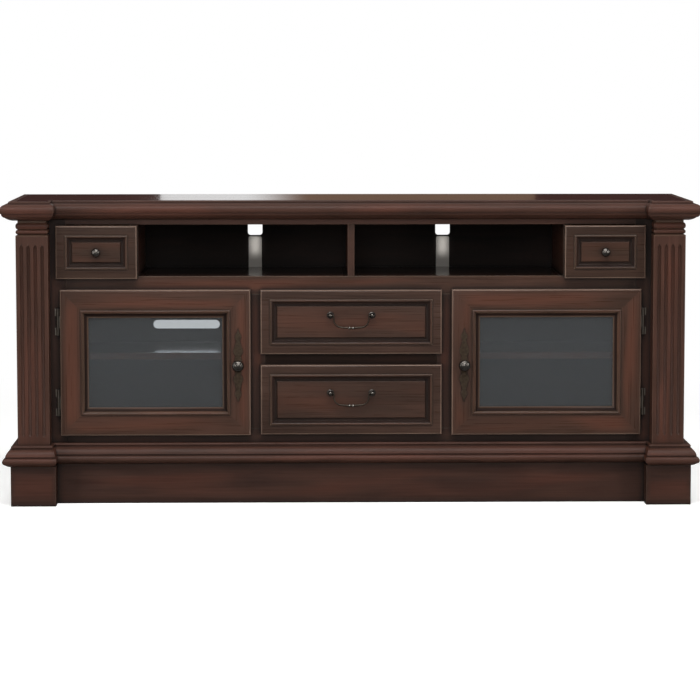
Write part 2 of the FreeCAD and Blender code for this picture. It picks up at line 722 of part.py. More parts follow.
def knob(name, radius, length):
    """Turned knob: foot disc, neck and a broad head with a bevelled crown."""
    stations = ((0, 0), (0.6, 0), (0.6, 0.1), (0.35, 0.1), (0.35, 0.48), (1, 0.48), (1, 0.7),
                (0.55, 1), (0, 1))
    body = turned(name, [(f"{u} * {radius}", f"{v} * {length}") for u, v in stations])
    return node(body, name)


def door_plate(name, x):
    """Long backplate with a lobe at the knob, waisted arms and pointed ends."""
    body = new_body(f"{name}_door_backplate")
    wide = "plate_half_width"
    tall = "plate_half_height"
    quarter = [(0, 1), (0.46, 0.84), (0.34, 0.68), (0.78, 0.46), (0.5, 0.26), (1, 0)]
    bends = [(0.32, -1), (0.122, 1), None, (0.143, 1), None]
    right = [(f"{u} * {wide}", f"{v} * {tall}") for u, v in quarter]
    lower = [(x_share, f"-({z_share})") for x_share, z_share in right[-2::-1]]
    left = [(f"-({x_share})", z_share) for x_share, z_share in (right + lower)[-2:0:-1]]
    arcs = (bends + bends[::-1]) * 2
    points = [(*spot, f"{arc[0]} * {tall}", arc[1]) if arc else spot
              for spot, arc in zip(right + lower + left, arcs)]
    pad(body, f"{name}_plate", outline(body, f"{name}_plate_outline", "XZ_Plane", points),
        "plate_thickness")
    place(body, x, FRONTS_FACE, "knob_level")
    node(body, f"{name}_door_backplate")


def hinge_levels():
    """Middles of the two hinges of a door."""
    return ("lower_hinge", "upper_hinge")


def hinge_axis(side):
    """Place of a door's hinge pins, seen from above."""
    return f"{side} * (door_outer + hinge_axis_out)", f"{FRAME_FRONT} - hinge_axis_front"


def catch_place(side):
    """Width and height that a door's catch and strike plate share."""
    x = span(side, "mullion_outer + catch_inset", "mullion_outer + catch_inset + catch_length")
    top = "deck_rail_bottom - catch_inset"
    return x, (f"{top} - catch_height", top)


def door_fittings(name, side):
    """Moving hinge leaves with their middle knuckles, and the catch's strike plate."""
    x, y = hinge_axis(side)
    members = []
    leaf_x = span(side, "door_outer", "door_outer + hinge_axis_out - knuckle_radius")
    half = "knuckle_height / 2"
    for row, level in enumerate(hinge_levels()):
        tube = new_body(f"{name}_knuckle_{row}")
        ring = tube.newObject("Sketcher::SketchObject", f"{name}_knuckle_outline_{row}")
        ring.AttachmentSupport = [(origin_part(tube, "XY_Plane"), "")]
        ring.MapMode = "FlatFace"
        for radius in ("knuckle_radius", "knuckle_bore"):
            circle = ring.addGeometry(Part.Circle(FreeCAD.Vector(), UP, number(radius)))
            ring.addConstraint(Sketcher.Constraint("Coincident", circle, 3, -1, 1))
            size = ring.addConstraint(Sketcher.Constraint("Radius", circle, number(radius)))
            ring.setExpression(f"Constraints[{size}]", bound(radius))
        pad(tube, f"{name}_knuckle_tube_{row}", ring, "knuckle_height")
        place(tube, x, y, f"{level} - {half}")
        leaf = board(f"{name}_door_leaf_{row}", leaf_x,
                     (f"{FRONTS_BACK} - leaf_width", FRONTS_BACK),
                     (f"{level} - {half}", f"{level} + {half}"))
        members += [tube, leaf]
    strike_x, strike_z = catch_place(side)
    members.append(board(f"{name}_strike", strike_x,
                         (FRONTS_BACK, f"{FRONTS_BACK} + leaf_thickness"), strike_z))
    group(f"{name}_door_fittings", members)


def hinge_frame_leaves():
    """Fixed leaves, notched round the moving knuckles, with their outer knuckles and pins."""
    members = []
    outer = "(barrel_height - knuckle_height) / 2 - knuckle_gap"
    half = "barrel_height / 2"
    notch = "knuckle_height / 2 + knuckle_gap"
    for name, side in SIDES.items():
        x, y = hinge_axis(side)
        inner_edge = f"{side} * (door_outer - leaf_width / 2)"
        notch_edge = f"{side} * (door_outer + leaf_thickness / 2)"
        outer_edge = f"{side} * (door_outer + leaf_width)"
        plate = [
            (inner_edge, f"-{half}"), (outer_edge, f"-{half}"), (outer_edge, f"-({notch})"),
            (notch_edge, f"-({notch})"), (notch_edge, notch), (outer_edge, notch),
            (outer_edge, half), (inner_edge, half),
        ]
        for row, level in enumerate(hinge_levels()):
            low = f"{level} - {half}"
            high = f"{level} + {half}"
            tag = f"{name}_{row}"
            leaf = new_body(f"frame_leaf_{tag}")
            pad(leaf, f"frame_leaf_plate_{tag}",
                outline(leaf, f"frame_leaf_outline_{tag}", "XZ_Plane", plate), "leaf_thickness")
            place(leaf, "0", FRAME_FRONT, level)
            members.append(leaf)
            members.append(rod(f"lower_knuckle_{tag}", "knuckle_radius", outer, (x, y, low)))
            members.append(rod(f"upper_knuckle_{tag}", "knuckle_radius", outer,
                               (x, y, f"{high} - ({outer})")))
            members.append(rod(f"hinge_pin_{tag}", "hinge_pin_radius",
                               "knuckle_height + 2 * knuckle_gap", (x, y, f"{low} + {outer}")))
    group("hinge_frame_leaves", members)


def door_catches():
    """For each door a bracket behind the deck rail, with a magnet that meets the strike plate."""
    members = []
    for name, side in SIDES.items():
        x, z = catch_place(side)
        members.append(board(f"catch_bracket_{name}", x,
                             (FRAME_BACK, f"{FRAME_BACK} + leaf_thickness"), (z[0], DECK_UNDER)))
        members.append(board(f"catch_magnet_{name}", x,
                             (f"{FRONTS_BACK} + leaf_thickness + catch_gap", FRAME_BACK), z))
    group("door_catches", members)


# Drawers
Opening = namedtuple("Opening", "x z")


def drawer(name, x, z, opening):
    """Drawer front with its bead strips, and the box behind it."""
    slab = new_body(f"{name}_slab")
    half_x = f"(({x[1]}) - ({x[0]})) / 2"
    half_z = f"(({z[1]}) - ({z[0]})) / 2"
    panel = pad(slab, f"{name}_panel", outline(
        slab, f"{name}_panel_outline", "XZ_Plane",
        rectangle((f"-{half_x}", half_x), (f"-{half_z}", half_z))), "front_thickness")
    front_edges = [f"Edge{index}" for index, edge in enumerate(panel.Shape.Edges, start=1)
                   if abs(edge.CenterOfMass.y + number("front_thickness")) < 0.01]
    rounding = slab.newObject("PartDesign::Fillet", f"{name}_edges")
    rounding.Base = (panel, front_edges)
    rounding.setExpression("Radius", bound("edge_round"))
    doc.recompute()
    field_x = f"{half_x} - bead_border - bead_width"
    field_z = f"{half_z} - bead_border - bead_width"
    field = outline(slab, f"{name}_field_outline", "XZ_Plane",
                    rectangle((f"-({field_x})", field_x), (f"-({field_z})", field_z)),
                    "front_thickness")
    cut(slab, f"{name}_field", field, both_ways=False, length="groove_depth")
    raised_x = f"{field_x} - groove_width"
    raised_z = f"{field_z} - groove_width"
    raised = outline(slab, f"{name}_raised_outline", "XZ_Plane",
                     rectangle((f"-({raised_x})", raised_x), (f"-({raised_z})", raised_z)),
                     "front_thickness - groove_depth")
    rise = pad(slab, f"{name}_raised_panel", raised, "groove_depth - panel_sink")
    rim_plane = number("panel_sink - front_thickness")
    rim = [f"Edge{index}" for index, edge in enumerate(rise.Shape.Edges, start=1)
           if abs(edge.CenterOfMass.y - rim_plane) < 0.01]
    bevel = slab.newObject("PartDesign::Chamfer", f"{name}_bevel")
    bevel.Base = (rise, rim)
    bevel.setExpression("Size", bound("groove_depth - panel_sink - 1"))
    doc.recompute()
    place(slab, f"(({x[0]}) + ({x[1]})) / 2", FRONTS_BACK, f"(({z[0]}) + ({z[1]})) / 2")
    face = number("front_thickness")
    start = number("bead_border")
    wide = number("bead_width")
    strip = ((
        (start, face), Via(start + 0.2 * wide, face + 0.36 * wide),
        (start + 0.5 * wide, face + 0.26 * wide), Via(start + 0.73 * wide, face + 0.1 * wide),
        (start + wide, face),
    ), "1", "1")
    beads = mitred_lengths(f"{name}_beads", frame_corners(x, z, FRONTS_BACK), TOWARDS_FRONT, strip)
    group(f"{name}_front", [slab, beads])
    drawer_box(name, opening)


def drawer_box(name, opening):
    """Open box of a drawer: two sides, inner front, back and bottom."""
    x = (f"({opening.x[0]}) + box_clearance", f"({opening.x[1]}) - box_clearance")
    z = (f"({opening.z[0]}) + box_clearance", f"({opening.z[1]}) - box_headroom")
    y = (FRONTS_BACK, f"{FRONTS_BACK} + box_length")
    inside_x = (f"{x[0]} + box_board", f"{x[1]} - box_board")
    bottom = (f"{z[0]} + box_bottom_rise", f"{z[0]} + box_bottom_rise + box_bottom")
    group(f"{name}_box", [
        board(f"{name}_side_low", (x[0], inside_x[0]), y, z),
        board(f"{name}_side_high", (inside_x[1], x[1]), y, z),
        board(f"{name}_inner_front", inside_x, (y[0], f"{y[0]} + box_board"), z),
        board(f"{name}_box_back", inside_x, (f"{y[1]} - box_board", y[1]), z),
        board(f"{name}_bottom", inside_x, (f"{y[0]} + box_board", f"{y[1]} - box_board"), bottom),
    ])


def bail_pull(name, level):
    """Two turned posts with a bail swinging between them."""
    posts = []
    neck = "0.4 * post_rosette"
    for tag, side in SIDES.items():
        post = turned(f"{name}_post_{tag}", [
            ("0", "0"), ("post_rosette", "0"), ("post_rosette", "0.18 * post_pivot"),
            (neck, "0.18 * post_pivot"), (neck, "post_pivot - post_head"),
            ("post_head", "post_pivot - post_head"), ("post_head", "post_pivot + post_head"),
            ("0", "post_pivot + post_head"),
        ])
        bore = post.newObject("Sketcher::SketchObject", f"{name}_bore_{tag}")
        bore.AttachmentSupport = [(origin_part(post, "YZ_Plane"), "")]
        bore.MapMode = "FlatFace"
        circle = bore.addGeometry(Part.Circle(vector("post_pivot", "0", "0"), UP, number("post_bore")))
        bore.addConstraint(Sketcher.Constraint("PointOnObject", circle, 3, -1))
        for kind, size, spots in (
            ("Radius", "post_bore", (circle,)),
            ("DistanceX", "post_pivot", (-1, 1, circle, 3)),
        ):
            constraint = bore.addConstraint(Sketcher.Constraint(kind, *spots, number(size)))
            bore.setExpression(f"Constraints[{constraint}]", bound(size))
        cut(post, f"{name}_pivot_hole_{tag}", bore)
        place(post, f"{side} * post_spacing / 2", FIELD_FACE, level)
        posts.append(post)
    group(f"{name}_posts", posts)
    bail(name, level)


def bail(name, level):
    """Eight-sided bar from post to post: pins, arms inside the posts, shoulders and a sagging grip."""
    half = number("post_spacing") / 2
    arm = half - number("bail_inset")
    drop = number("bail_arm")
    corner = number("bail_corner")
    shoulder = number("bail_shoulder")
    slope = math.radians(number("bail_slope"))
    wire = number("bail_wire")
    pin_end = half + number("post_head") + 1
    middle = arm - shoulder
    bend = math.radians(45)
    turn_end = (middle + shoulder * math.sin(slope), -drop - shoulder * math.cos(slope))
    sag_radius = turn_end[0] / math.sin(slope)
    lowest = turn_end[1] - sag_radius * (1 - math.cos(slope))
    centre = (arm + corner, -corner)
    half_slope = slope / 2
    mid_turn = (math.pi / 2 - slope) / 2
    spots = [
        (pin_end, 0),
        (centre[0], 0),
        Via(centre[0] - corner * math.sin(bend), centre[1] + corner * math.cos(bend)),
        (arm, -corner),
        (arm, -drop),
        Via(middle + shoulder * math.cos(mid_turn), -drop - shoulder * math.sin(mid_turn)),
        turn_end,
        Via(sag_radius * math.sin(half_slope), lowest + sag_radius * (1 - math.cos(half_slope))),
        (0, lowest),
    ]
    mirrored = [type(spot)(-spot[0], spot[1]) if isinstance(spot, Via) else (-spot[0], spot[1])
                for spot in spots[-2::-1]]
    run = spots + mirrored
    points = [FreeCAD.Vector(spot[0], 0, spot[1]) for spot in run]
    edges = edges_through(run, points, closed=False)
    sides = 8
    rim = [points[0] + FreeCAD.Vector(0, math.cos(turn), math.sin(turn)) * wire
           for turn in (2 * math.pi * (step + 0.5) / sides for step in range(sides + 1))]
    handle = Part.Wire(edges).makePipe(Part.Face(Part.makePolygon(rim)))
    area = sides / 2 * wire ** 2 * math.sin(2 * math.pi / sides)
    length = sum(edge.Length for edge in edges)
    if abs(handle.Volume / (area * length) - 1) > 0.02:
        raise RuntimeError(f"{name} bail has the wrong volume")
    item = doc.addObject("Part::Feature", f"{name}_bail")
    item.Shape = handle
    place(item, "0", f"{FIELD_FACE} - post_pivot", level)
    node(item, f"{name}_bail")


def drawer_runners(openings):
    """Wooden strips under both sides of each drawer box."""
    members = []
    for name, (opening, walls) in openings.items():
        low = f"({opening.z[0]}) - board_thickness" if name == "upper_drawer" else opening.z[0]
        z = (low, f"({opening.z[0]}) + box_clearance - runner_gap")
        lap = "box_clearance + runner_lap"
        ends = ((walls[0], f"({opening.x[0]}) + {lap}"), (f"({opening.x[1]}) - ({lap})", walls[1]))
        for row, x in enumerate(ends):
            members.append(board(f"{name}_runner_{row}", x, (FRAME_BACK, INNER_BACK), z))
    group("drawer_runners", members)


def drawers():
    """Two centre drawers with bails and two small drawers with knobs."""
    centre_x = ("-mullion_inner", "mullion_inner")
    centre_walls = (f"-{PARTITION_INNER}", PARTITION_INNER)
    front_x = ("-drawer_half", "drawer_half")
    openings = {}
    for name, z_low, z_high in (
        ("lower_drawer", "bottom_rail_top", "drawer_rail_bottom"),
        ("upper_drawer", "drawer_rail_top", "deck_rail_bottom"),
    ):
        z = (f"{name}_bottom", f"{name}_top")
        opening = Opening(centre_x, (z_low, z_high))
        openings[name] = (opening, centre_walls)
        drawer(name, front_x, z, opening)
        bail_pull(name, f"({z[0]} + {z[1]}) / 2 + bail_rise")
    for tag, side in SIDES.items():
        name = f"{tag}_small_drawer"
        x = span(side, "small_drawer_inner", "small_drawer_outer")
        z = ("small_drawer_bottom", "small_drawer_top")
        opening = Opening(span(side, DIVIDER_OUTER, "stile_inner"), ("deck_top", "bay_top"))
        openings[name] = (opening, span(side, DIVIDER_OUTER, "stile_inner + box_clearance"))
        drawer(name, x, z, opening)
        handle = knob(f"{name}_knob", "drawer_knob_radius", "drawer_knob_length")
        place(handle, f"(({x[0]}) + ({x[1]})) / 2", FIELD_FACE, f"({z[0]} + {z[1]}) / 2")
    drawer_runners(openings)


def check_document():
    """Stop if an object failed, or a sub-part is empty or not valid."""
    for item in doc.Objects:
        if "Invalid" in item.State or "Error" in item.State:
            raise RuntimeError(f"{item.Label} failed: {item.State}")
    for item in nodes:
        if item.Shape.isNull() or not item.Shape.isValid() or not item.Shape.Solids:
            raise RuntimeError(f"{item.Label} has no valid solid")


def write_parts():
    """Write each sub-part to a file of its own."""
    os.makedirs("parts", exist_ok=True)
    for item in nodes:
        item.Shape.exportStep(f"parts/{item.Label}.step")


fill_sheet()
carcass()
top_panel()
back_panel()
shelf_clips()
support_feet()
face_frame()
plinth()
crown_moulding()
base_moulding()
hinge_frame_leaves()
door_catches()
for side_name, side_sign in SIDES.items():
    pilaster(side_name, side_sign)
    capital(side_name, side_sign)
    door(side_name, side_sign)
drawers()
doc.recompute()
check_document()
write_parts()
print(f"{len(nodes)} sub-parts")
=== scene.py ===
"""Looks of a long breakfront television console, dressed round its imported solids.

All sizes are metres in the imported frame: +X to the right, +Y to the back, +Z up.
"""
import logging
import math
from dataclasses import dataclass, replace
from enum import Enum
from typing import Any, Sequence

import bmesh
import bpy
from mathutils import Matrix, Vector


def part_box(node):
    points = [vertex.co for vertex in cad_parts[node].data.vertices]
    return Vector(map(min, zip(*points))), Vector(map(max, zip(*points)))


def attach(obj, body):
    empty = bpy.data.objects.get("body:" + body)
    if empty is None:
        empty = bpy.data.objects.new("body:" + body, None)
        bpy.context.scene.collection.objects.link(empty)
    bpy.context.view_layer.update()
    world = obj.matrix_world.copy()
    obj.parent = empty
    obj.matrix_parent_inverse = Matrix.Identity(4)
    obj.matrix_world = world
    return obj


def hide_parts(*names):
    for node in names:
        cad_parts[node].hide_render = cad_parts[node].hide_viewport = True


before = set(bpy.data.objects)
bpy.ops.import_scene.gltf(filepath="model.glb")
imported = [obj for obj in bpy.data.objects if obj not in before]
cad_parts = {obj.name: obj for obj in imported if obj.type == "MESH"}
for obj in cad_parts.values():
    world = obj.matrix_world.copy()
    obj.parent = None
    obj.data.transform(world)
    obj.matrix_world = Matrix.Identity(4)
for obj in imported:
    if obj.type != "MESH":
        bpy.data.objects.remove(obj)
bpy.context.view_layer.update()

LOG = logging.getLogger("console")
MM = 0.001
Colour = tuple[float, float, float, float]
Span = tuple[float, float]
Place = tuple[float, float, float]
Profile = Sequence[tuple[float, float]]
Shell = list[list[Vector]]

# Half widths under which a strip is a bead, and a drawer's bead. Painted shade lies on a bead's inner
# slope between two shares of its half width, counted from its middle towards the middle of the frame it
# runs round.
BEAD_HALF = 11 * MM
DRAWER_BEAD_HALF = 8 * MM
DRAWER_BEAD_SHADE: Span = (-0.05, 1.1)
DOOR_BEAD_SHADE: Span = (-0.1, 0.62)
# Pale rims, partly rubbed stain and partly painted highlight, lie this near the rim and face the front by
# a share between these.
ROUNDING = 6 * MM
ROUNDED_FACING: Span = (0.3, 0.95)
# How the grain of one board is shifted against the next: step and reach along each direction.
GRAIN_SHIFTS: tuple[Span, ...] = ((0.377, 3), (0.619, 2), (0.831, 2))
GRAIN_STEP = 7
# Tolerances of the meshes.
SAME_PLACE_DIGITS = 7
FLAT_ANGLE = math.radians(0.4)
MITRE_SLACK = 0.01
MERGE_REACH = 0.02 * MM
# Angles in degrees over which edges of turned pieces stay sharp, and over which boards are eased.
TURNED_SHARP = 40
EASED_OVER = 35
# Outlines of turned heads, as shares of radius and height.
KNOB: Profile = (
    (0.6, 0), (0.62, 0.03), (0.6, 0.07), (0.52, 0.09), (0.42, 0.15), (0.35, 0.24), (0.33, 0.32),
    (0.37, 0.39), (0.5, 0.44), (0.74, 0.47), (0.91, 0.52), (0.985, 0.58), (1, 0.64),
    (0.975, 0.71), (0.89, 0.79), (0.76, 0.86), (0.63, 0.905), (0.58, 0.905), (0.55, 0.93),
    (0.42, 0.967), (0.22, 0.993), (0, 1),
)
PEARL: Profile = ((0.35, -1), (0.7, -0.72), (0.94, -0.34), (1, 0), (0.94, 0.34), (0.7, 0.72), (0, 1))
SCREW: Profile = ((1, 0), (1, 0.12), (0.9, 0.3), (0.66, 0.44), (0.36, 0.5), (0.3, 0.22), (0, 0.1))
FLAT_SCREW: Profile = ((1, 0), (1, 0.1), (0.92, 0.15), (0.4, 0.15), (0.34, 0.04), (0, 0.03))
# A post's foot and waist, as shares of the foot's radius and of the height of the bail's axis.
POST: Profile = ((1, 0), (1, 0.05), (0.94, 0.1), (0.72, 0.13), (0.68, 0.19), (0.5, 0.26), (0.4, 0.36),
                 (0.38, 0.48))


# Small helpers
def linear(code: str) -> Colour:
    """Turn an sRGB colour into a linear one.

    Args:
        code: Colour as #RRGGBB.

    Returns:
        Linear red, green, blue and an alpha of one.
    """
    shares = [int(code[start:start + 2], 16) / 255 for start in (1, 3, 5)]
    red, green, blue = [
        share / 12.92 if share <= 0.04045 else ((share + 0.055) / 1.055) ** 2.4 for share in shares]
    return red, green, blue, 1.0


def add_node(tree: bpy.types.NodeTree, kind: str, inputs: dict[Any, Any] | None = None,
             **settings: Any) -> bpy.types.Node:
    """Add a node to a tree, with its settings and its inputs.

    Args:
        tree: Shader or geometry tree.
        kind: Blender's type name of the node.
        inputs: Names or numbers of inputs, each with a value, a socket to link from, or a node,
            which is linked from its first output in use.
        settings: Properties of the node itself.

    Returns:
        The new node.
    """
    made = tree.nodes.new(kind)
    for name, value in settings.items():
        setattr(made, name, value)
    for key, value in (inputs or {}).items():
        named = [socket for socket in made.inputs if socket.enabled and socket.name == key]
        socket = named[0] if named else made.inputs[key]
        if isinstance(value, bpy.types.Node):
            value = next(output for output in value.outputs if output.enabled)
        if isinstance(value, bpy.types.NodeSocket):
            tree.links.new(value, socket)
        else:
            socket.default_value = value
    return made


def new_material(name: str) -> tuple[bpy.types.Material, bpy.types.NodeTree]:
    """Make an empty node material.

    Args:
        name: Name of the finish.

    Returns:
        The material and its node tree.
    """
    made = bpy.data.materials.new(name)
    made.use_nodes = True
    made.node_tree.nodes.clear()
    return made, made.node_tree


def finish_material(tree: bpy.types.NodeTree, shader: bpy.types.Node) -> None:
    """Link a shader to the output of its material."""
    add_node(tree, "ShaderNodeOutputMaterial", {"Surface": shader})


def add_object(name: str, data: bpy.types.ID) -> bpy.types.Object:
    """Put a mesh, a lamp or a camera into the scene.

    Args:
        name: Name of the object.
        data: What it shows.

    Returns:
        The new object.
    """
    made = bpy.data.objects.new(name, data)
    bpy.context.scene.collection.objects.link(made)
    return made


# Finishes
class Slot(Enum):
    """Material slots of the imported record."""

    STAINED = "stained_wood"
    SECONDARY = "secondary_wood"
    BACK = "back_board"
    GLASS = "door_glass"
    BRONZE = "bronze"
    STEEL = "steel_fittings"
    FEET = "feet"


@dataclass(frozen=True)
class Finish:
    """What a piece is made of and how its surface was made."""

    name: str
    slot: Slot

    def material(self) -> bpy.types.Material:
        """Build the finish once and hand it out after that.

        Returns:
            The finish's material.
        """
        known = bpy.data.materials.get(self.name)
        if known:
            return known
        made, tree = new_material(self.name)
        finish_material(tree, self.shader(tree))
        return made

    def shader(self, tree: bpy.types.NodeTree) -> bpy.types.Node:
        """Build the shader, which each kind of finish does in its own way."""
        raise NotImplementedError


@dataclass(frozen=True)
class Wood(Finish):
    """A wood finish with its grain along each board.

    The boards carry two attributes: "board", metres along, across and through the board, and
    "place", the same directions as shares from -1 to 1 of the board's own box.
    """

    dark: str
    middle: str
    burnished: str
    # Colour of the hollows: glaze, and painted shade where occlusion finds them.
    glaze: str
    roughness: float
    coat: float
    burnish: float
    shine: float = 0.22
    # Pale colour of sharp edges: partly worn stain, partly painted highlight.
    edge: str = "#72604F"
    edge_wear: float = 0.0
    edge_width: float = 4.0 * MM
    # The streaks of the fibre are drawn coarser than the wood's own, which are too fine to show.
    fibre_width: float = 3.5 * MM
    fibre_length: float = 160 * MM
    figure_width: float = 40 * MM
    figure_length: float = 260 * MM
    glaze_reach: float = 18 * MM
    glaze_most: float = 0.9
    waxed: float = 0.6
    relief: float = 0.12
    pore_depth: float = 0.3 * MM
    pore_shade: Span = (0.72, 1.06)
    gloss_change: Span = (-0.05, 0.08)

    def burnish_share(self, tree: bpy.types.NodeTree, figure_space: bpy.types.Node) -> bpy.types.Node:
        """Rub the stain in patches, and only in the middle of a board.

        Args:
            tree: Shader tree.
            figure_space: Node with the place on the board in lengths and widths of its figure.

        Returns:
            The node with the share that is rubbed.
        """
        place = add_node(tree, "ShaderNodeAttribute", attribute_name="place").outputs["Vector"]
        inside = add_node(tree, "ShaderNodeVectorMath", {0: place}, operation="ABSOLUTE")
        sides = add_node(tree, "ShaderNodeSeparateXYZ", {0: inside})
        from_ends = add_node(tree, "ShaderNodeMapRange", {
            "Value": sides.outputs["X"], "From Min": 0.72, "From Max": 1.0, "To Min": 1.0,
            "To Max": 0.0}, interpolation_type="SMOOTHSTEP")
        from_edges = add_node(tree, "ShaderNodeMapRange", {
            "Value": sides.outputs["Y"], "From Min": 0.2, "From Max": 0.9, "To Min": 1.0,
            "To Max": 0.0}, interpolation_type="SMOOTHSTEP")
        middle_part = add_node(tree, "ShaderNodeMath", {0: from_ends, 1: from_edges}, operation="MULTIPLY")
        patches = add_node(tree, "ShaderNodeTexNoise", {
            "Vector": figure_space, "Scale": 0.7, "Detail": 1.0, "Distortion": 0.3})
        rubbed = add_node(tree, "ShaderNodeMapRange", {
            "Value": patches, "From Min": 0.36, "From Max": 0.62, "To Max": self.burnish},
            interpolation_type="SMOOTHSTEP")
        return add_node(tree, "ShaderNodeMath", {0: middle_part, 1: rubbed}, operation="MULTIPLY")

    def shader(self, tree: bpy.types.NodeTree) -> bpy.types.Node:
        """Build grain, figure, rubbed patches, pale edges that are partly painted highlight, and dark
        glaze with painted shade in the hollows.

        Args:
            tree: Shader tree.

        Returns:
            The shader's node.
        """
        board = add_node(tree, "ShaderNodeAttribute", attribute_name="board").outputs["Vector"]
        across = 1 / self.fibre_width
        fibre_space = add_node(tree, "ShaderNodeMapping", {
            "Vector": board, "Scale": (1 / self.fibre_length, across, across)})
        fibre = add_node(tree, "ShaderNodeTexNoise", {
            "Vector": fibre_space, "Scale": 1.0, "Detail": 3.0, "Roughness": 0.6})
        wide = 1 / self.figure_width
        figure_space = add_node(tree, "ShaderNodeMapping", {
            "Vector": board, "Scale": (1 / self.figure_length, wide, wide)})
        figure = add_node(tree, "ShaderNodeTexNoise", {
            "Vector": figure_space, "Scale": 1.0, "Detail": 2.0, "Distortion": 0.6})
        ground_share = add_node(tree, "ShaderNodeMapRange", {
            "Value": figure, "From Min": 0.3, "From Max": 0.7})
        ground = add_node(tree, "ShaderNodeMix", {
            "Factor": ground_share, "A": linear(self.dark), "B": linear(self.middle)}, data_type="RGBA")
        warm = add_node(tree, "ShaderNodeMix", {
            "Factor": self.burnish_share(tree, figure_space), "A": ground,
            "B": linear(self.burnished)}, data_type="RGBA")
        pores = add_node(tree, "ShaderNodeMapRange", {
            "Value": fibre, "From Min": 0.3, "From Max": 0.75,
            "To Min": self.pore_shade[0], "To Max": self.pore_shade[1]})
        grained = add_node(tree, "ShaderNodeVectorMath", {0: warm, "Scale": pores}, operation="SCALE")
        # Paler near sharp edges: partly worn stain, partly painted highlight.
        arris = add_node(tree, "ShaderNodeAmbientOcclusion", {"Distance": self.edge_width}, samples=6,
                         inside=True, only_local=True)
        worn = add_node(tree, "ShaderNodeMapRange", {
            "Value": arris.outputs["AO"], "From Min": 0.5, "From Max": 0.8,
            "To Min": self.edge_wear, "To Max": 0.0})
        wear_and_highlight = add_node(tree, "ShaderNodeMix", {
            "Factor": worn, "A": grained, "B": linear(self.edge)}, data_type="RGBA")
        # Dark in hollows found by occlusion: partly glaze, partly painted shade in grooves, gaps and
        # corners.
        hollow = add_node(tree, "ShaderNodeAmbientOcclusion", {"Distance": self.glaze_reach}, samples=8)
        glaze_shade_share = add_node(tree, "ShaderNodeMapRange", {
            "Value": hollow.outputs["AO"], "From Min": 0.45, "From Max": 0.92,
            "To Min": self.glaze_most, "To Max": 0.0})
        colour = add_node(tree, "ShaderNodeMix", {
            "Factor": glaze_shade_share, "A": wear_and_highlight, "B": linear(self.glaze)}, data_type="RGBA")
        gloss = add_node(tree, "ShaderNodeMapRange", {
            "Value": fibre, "From Min": 0.2, "From Max": 0.8,
            "To Min": self.roughness + self.gloss_change[0],
            "To Max": self.roughness + self.gloss_change[1]})
        dulled = add_node(tree, "ShaderNodeMix", {
            "Factor": glaze_shade_share, "A": gloss, "B": self.waxed}, data_type="FLOAT")
        relief = add_node(tree, "ShaderNodeBump", {
            "Height": fibre, "Strength": self.relief, "Distance": self.pore_depth})
        return add_node(tree, "ShaderNodeBsdfPrincipled", {
            "Base Color": colour, "Roughness": dulled, "IOR": 1.45,
            "Specular IOR Level": self.shine, "Coat Weight": self.coat, "Coat Roughness": 0.12,
            "Normal": relief})


@dataclass(frozen=True)
class Metal(Finish):
    """A metal with a patina that lies in clouds and is rubbed off on edges."""

    ground: str
    patina: str
    worn: str
    roughness: float
    patch: float = 7 * MM
    pits: float = 6.0
    pit_depth: float = 0.2 * MM
    relief: float = 0.15
    rubbed_most: float = 0.8
    gloss_change: Span = (0.12, -0.06)

    def shader(self, tree: bpy.types.NodeTree) -> bpy.types.Node:
        """Build the clouds, the rubbed edges and the fine pits.

        Args:
            tree: Shader tree.

        Returns:
            The shader's node.
        """
        where = add_node(tree, "ShaderNodeTexCoord").outputs["Object"]
        cloud = add_node(tree, "ShaderNodeTexNoise", {
            "Vector": where, "Scale": 1 / self.patch, "Detail": 4.0, "Roughness": 0.65})
        fine = add_node(tree, "ShaderNodeTexNoise", {
            "Vector": where, "Scale": self.pits / self.patch, "Detail": 2.0})
        share = add_node(tree, "ShaderNodeMapRange", {
            "Value": cloud, "From Min": 0.35, "From Max": 0.65})
        ground = add_node(tree, "ShaderNodeMix", {
            "Factor": share, "A": linear(self.patina), "B": linear(self.ground)}, data_type="RGBA")
        edges = add_node(tree, "ShaderNodeNewGeometry")
        rubbed = add_node(tree, "ShaderNodeMapRange", {
            "Value": edges.outputs["Pointiness"], "From Min": 0.5, "From Max": 0.6,
            "To Max": self.rubbed_most})
        colour = add_node(tree, "ShaderNodeMix", {
            "Factor": rubbed, "A": ground, "B": linear(self.worn)}, data_type="RGBA")
        gloss = add_node(tree, "ShaderNodeMapRange", {
            "Value": cloud, "From Min": 0.3, "From Max": 0.7,
            "To Min": self.roughness + self.gloss_change[0],
            "To Max": self.roughness + self.gloss_change[1]})
        relief = add_node(tree, "ShaderNodeBump", {
            "Height": fine, "Strength": self.relief, "Distance": self.pit_depth})
        return add_node(tree, "ShaderNodeBsdfPrincipled", {
            "Base Color": colour, "Metallic": 1.0, "Roughness": gloss, "Normal": relief})


@dataclass(frozen=True)
class ClearGlass(Finish):
    """Tinted glass with faintly wavy faces, whose small diffuse share lies on it as a painted reflection.
    """

    tint: str
    clear: float
    wave: float = 180 * MM
    wave_depth: float = 1 * MM

    def shader(self, tree: bpy.types.NodeTree) -> bpy.types.Node:
        """Build the pane's tint, its painted reflection veil and its waves.

        Args:
            tree: Shader tree.

        Returns:
            The shader's node.
        """
        where = add_node(tree, "ShaderNodeTexCoord").outputs["Object"]
        wave = add_node(tree, "ShaderNodeTexNoise", {
            "Vector": where, "Scale": 1 / self.wave, "Detail": 0.0})
        relief = add_node(tree, "ShaderNodeBump", {
            "Height": wave, "Strength": 0.05, "Distance": self.wave_depth})
        return add_node(tree, "ShaderNodeBsdfPrincipled", {
            "Base Color": linear(self.tint), "Roughness": 0.0, "IOR": 1.52,
            "Transmission Weight": self.clear, "Normal": relief})


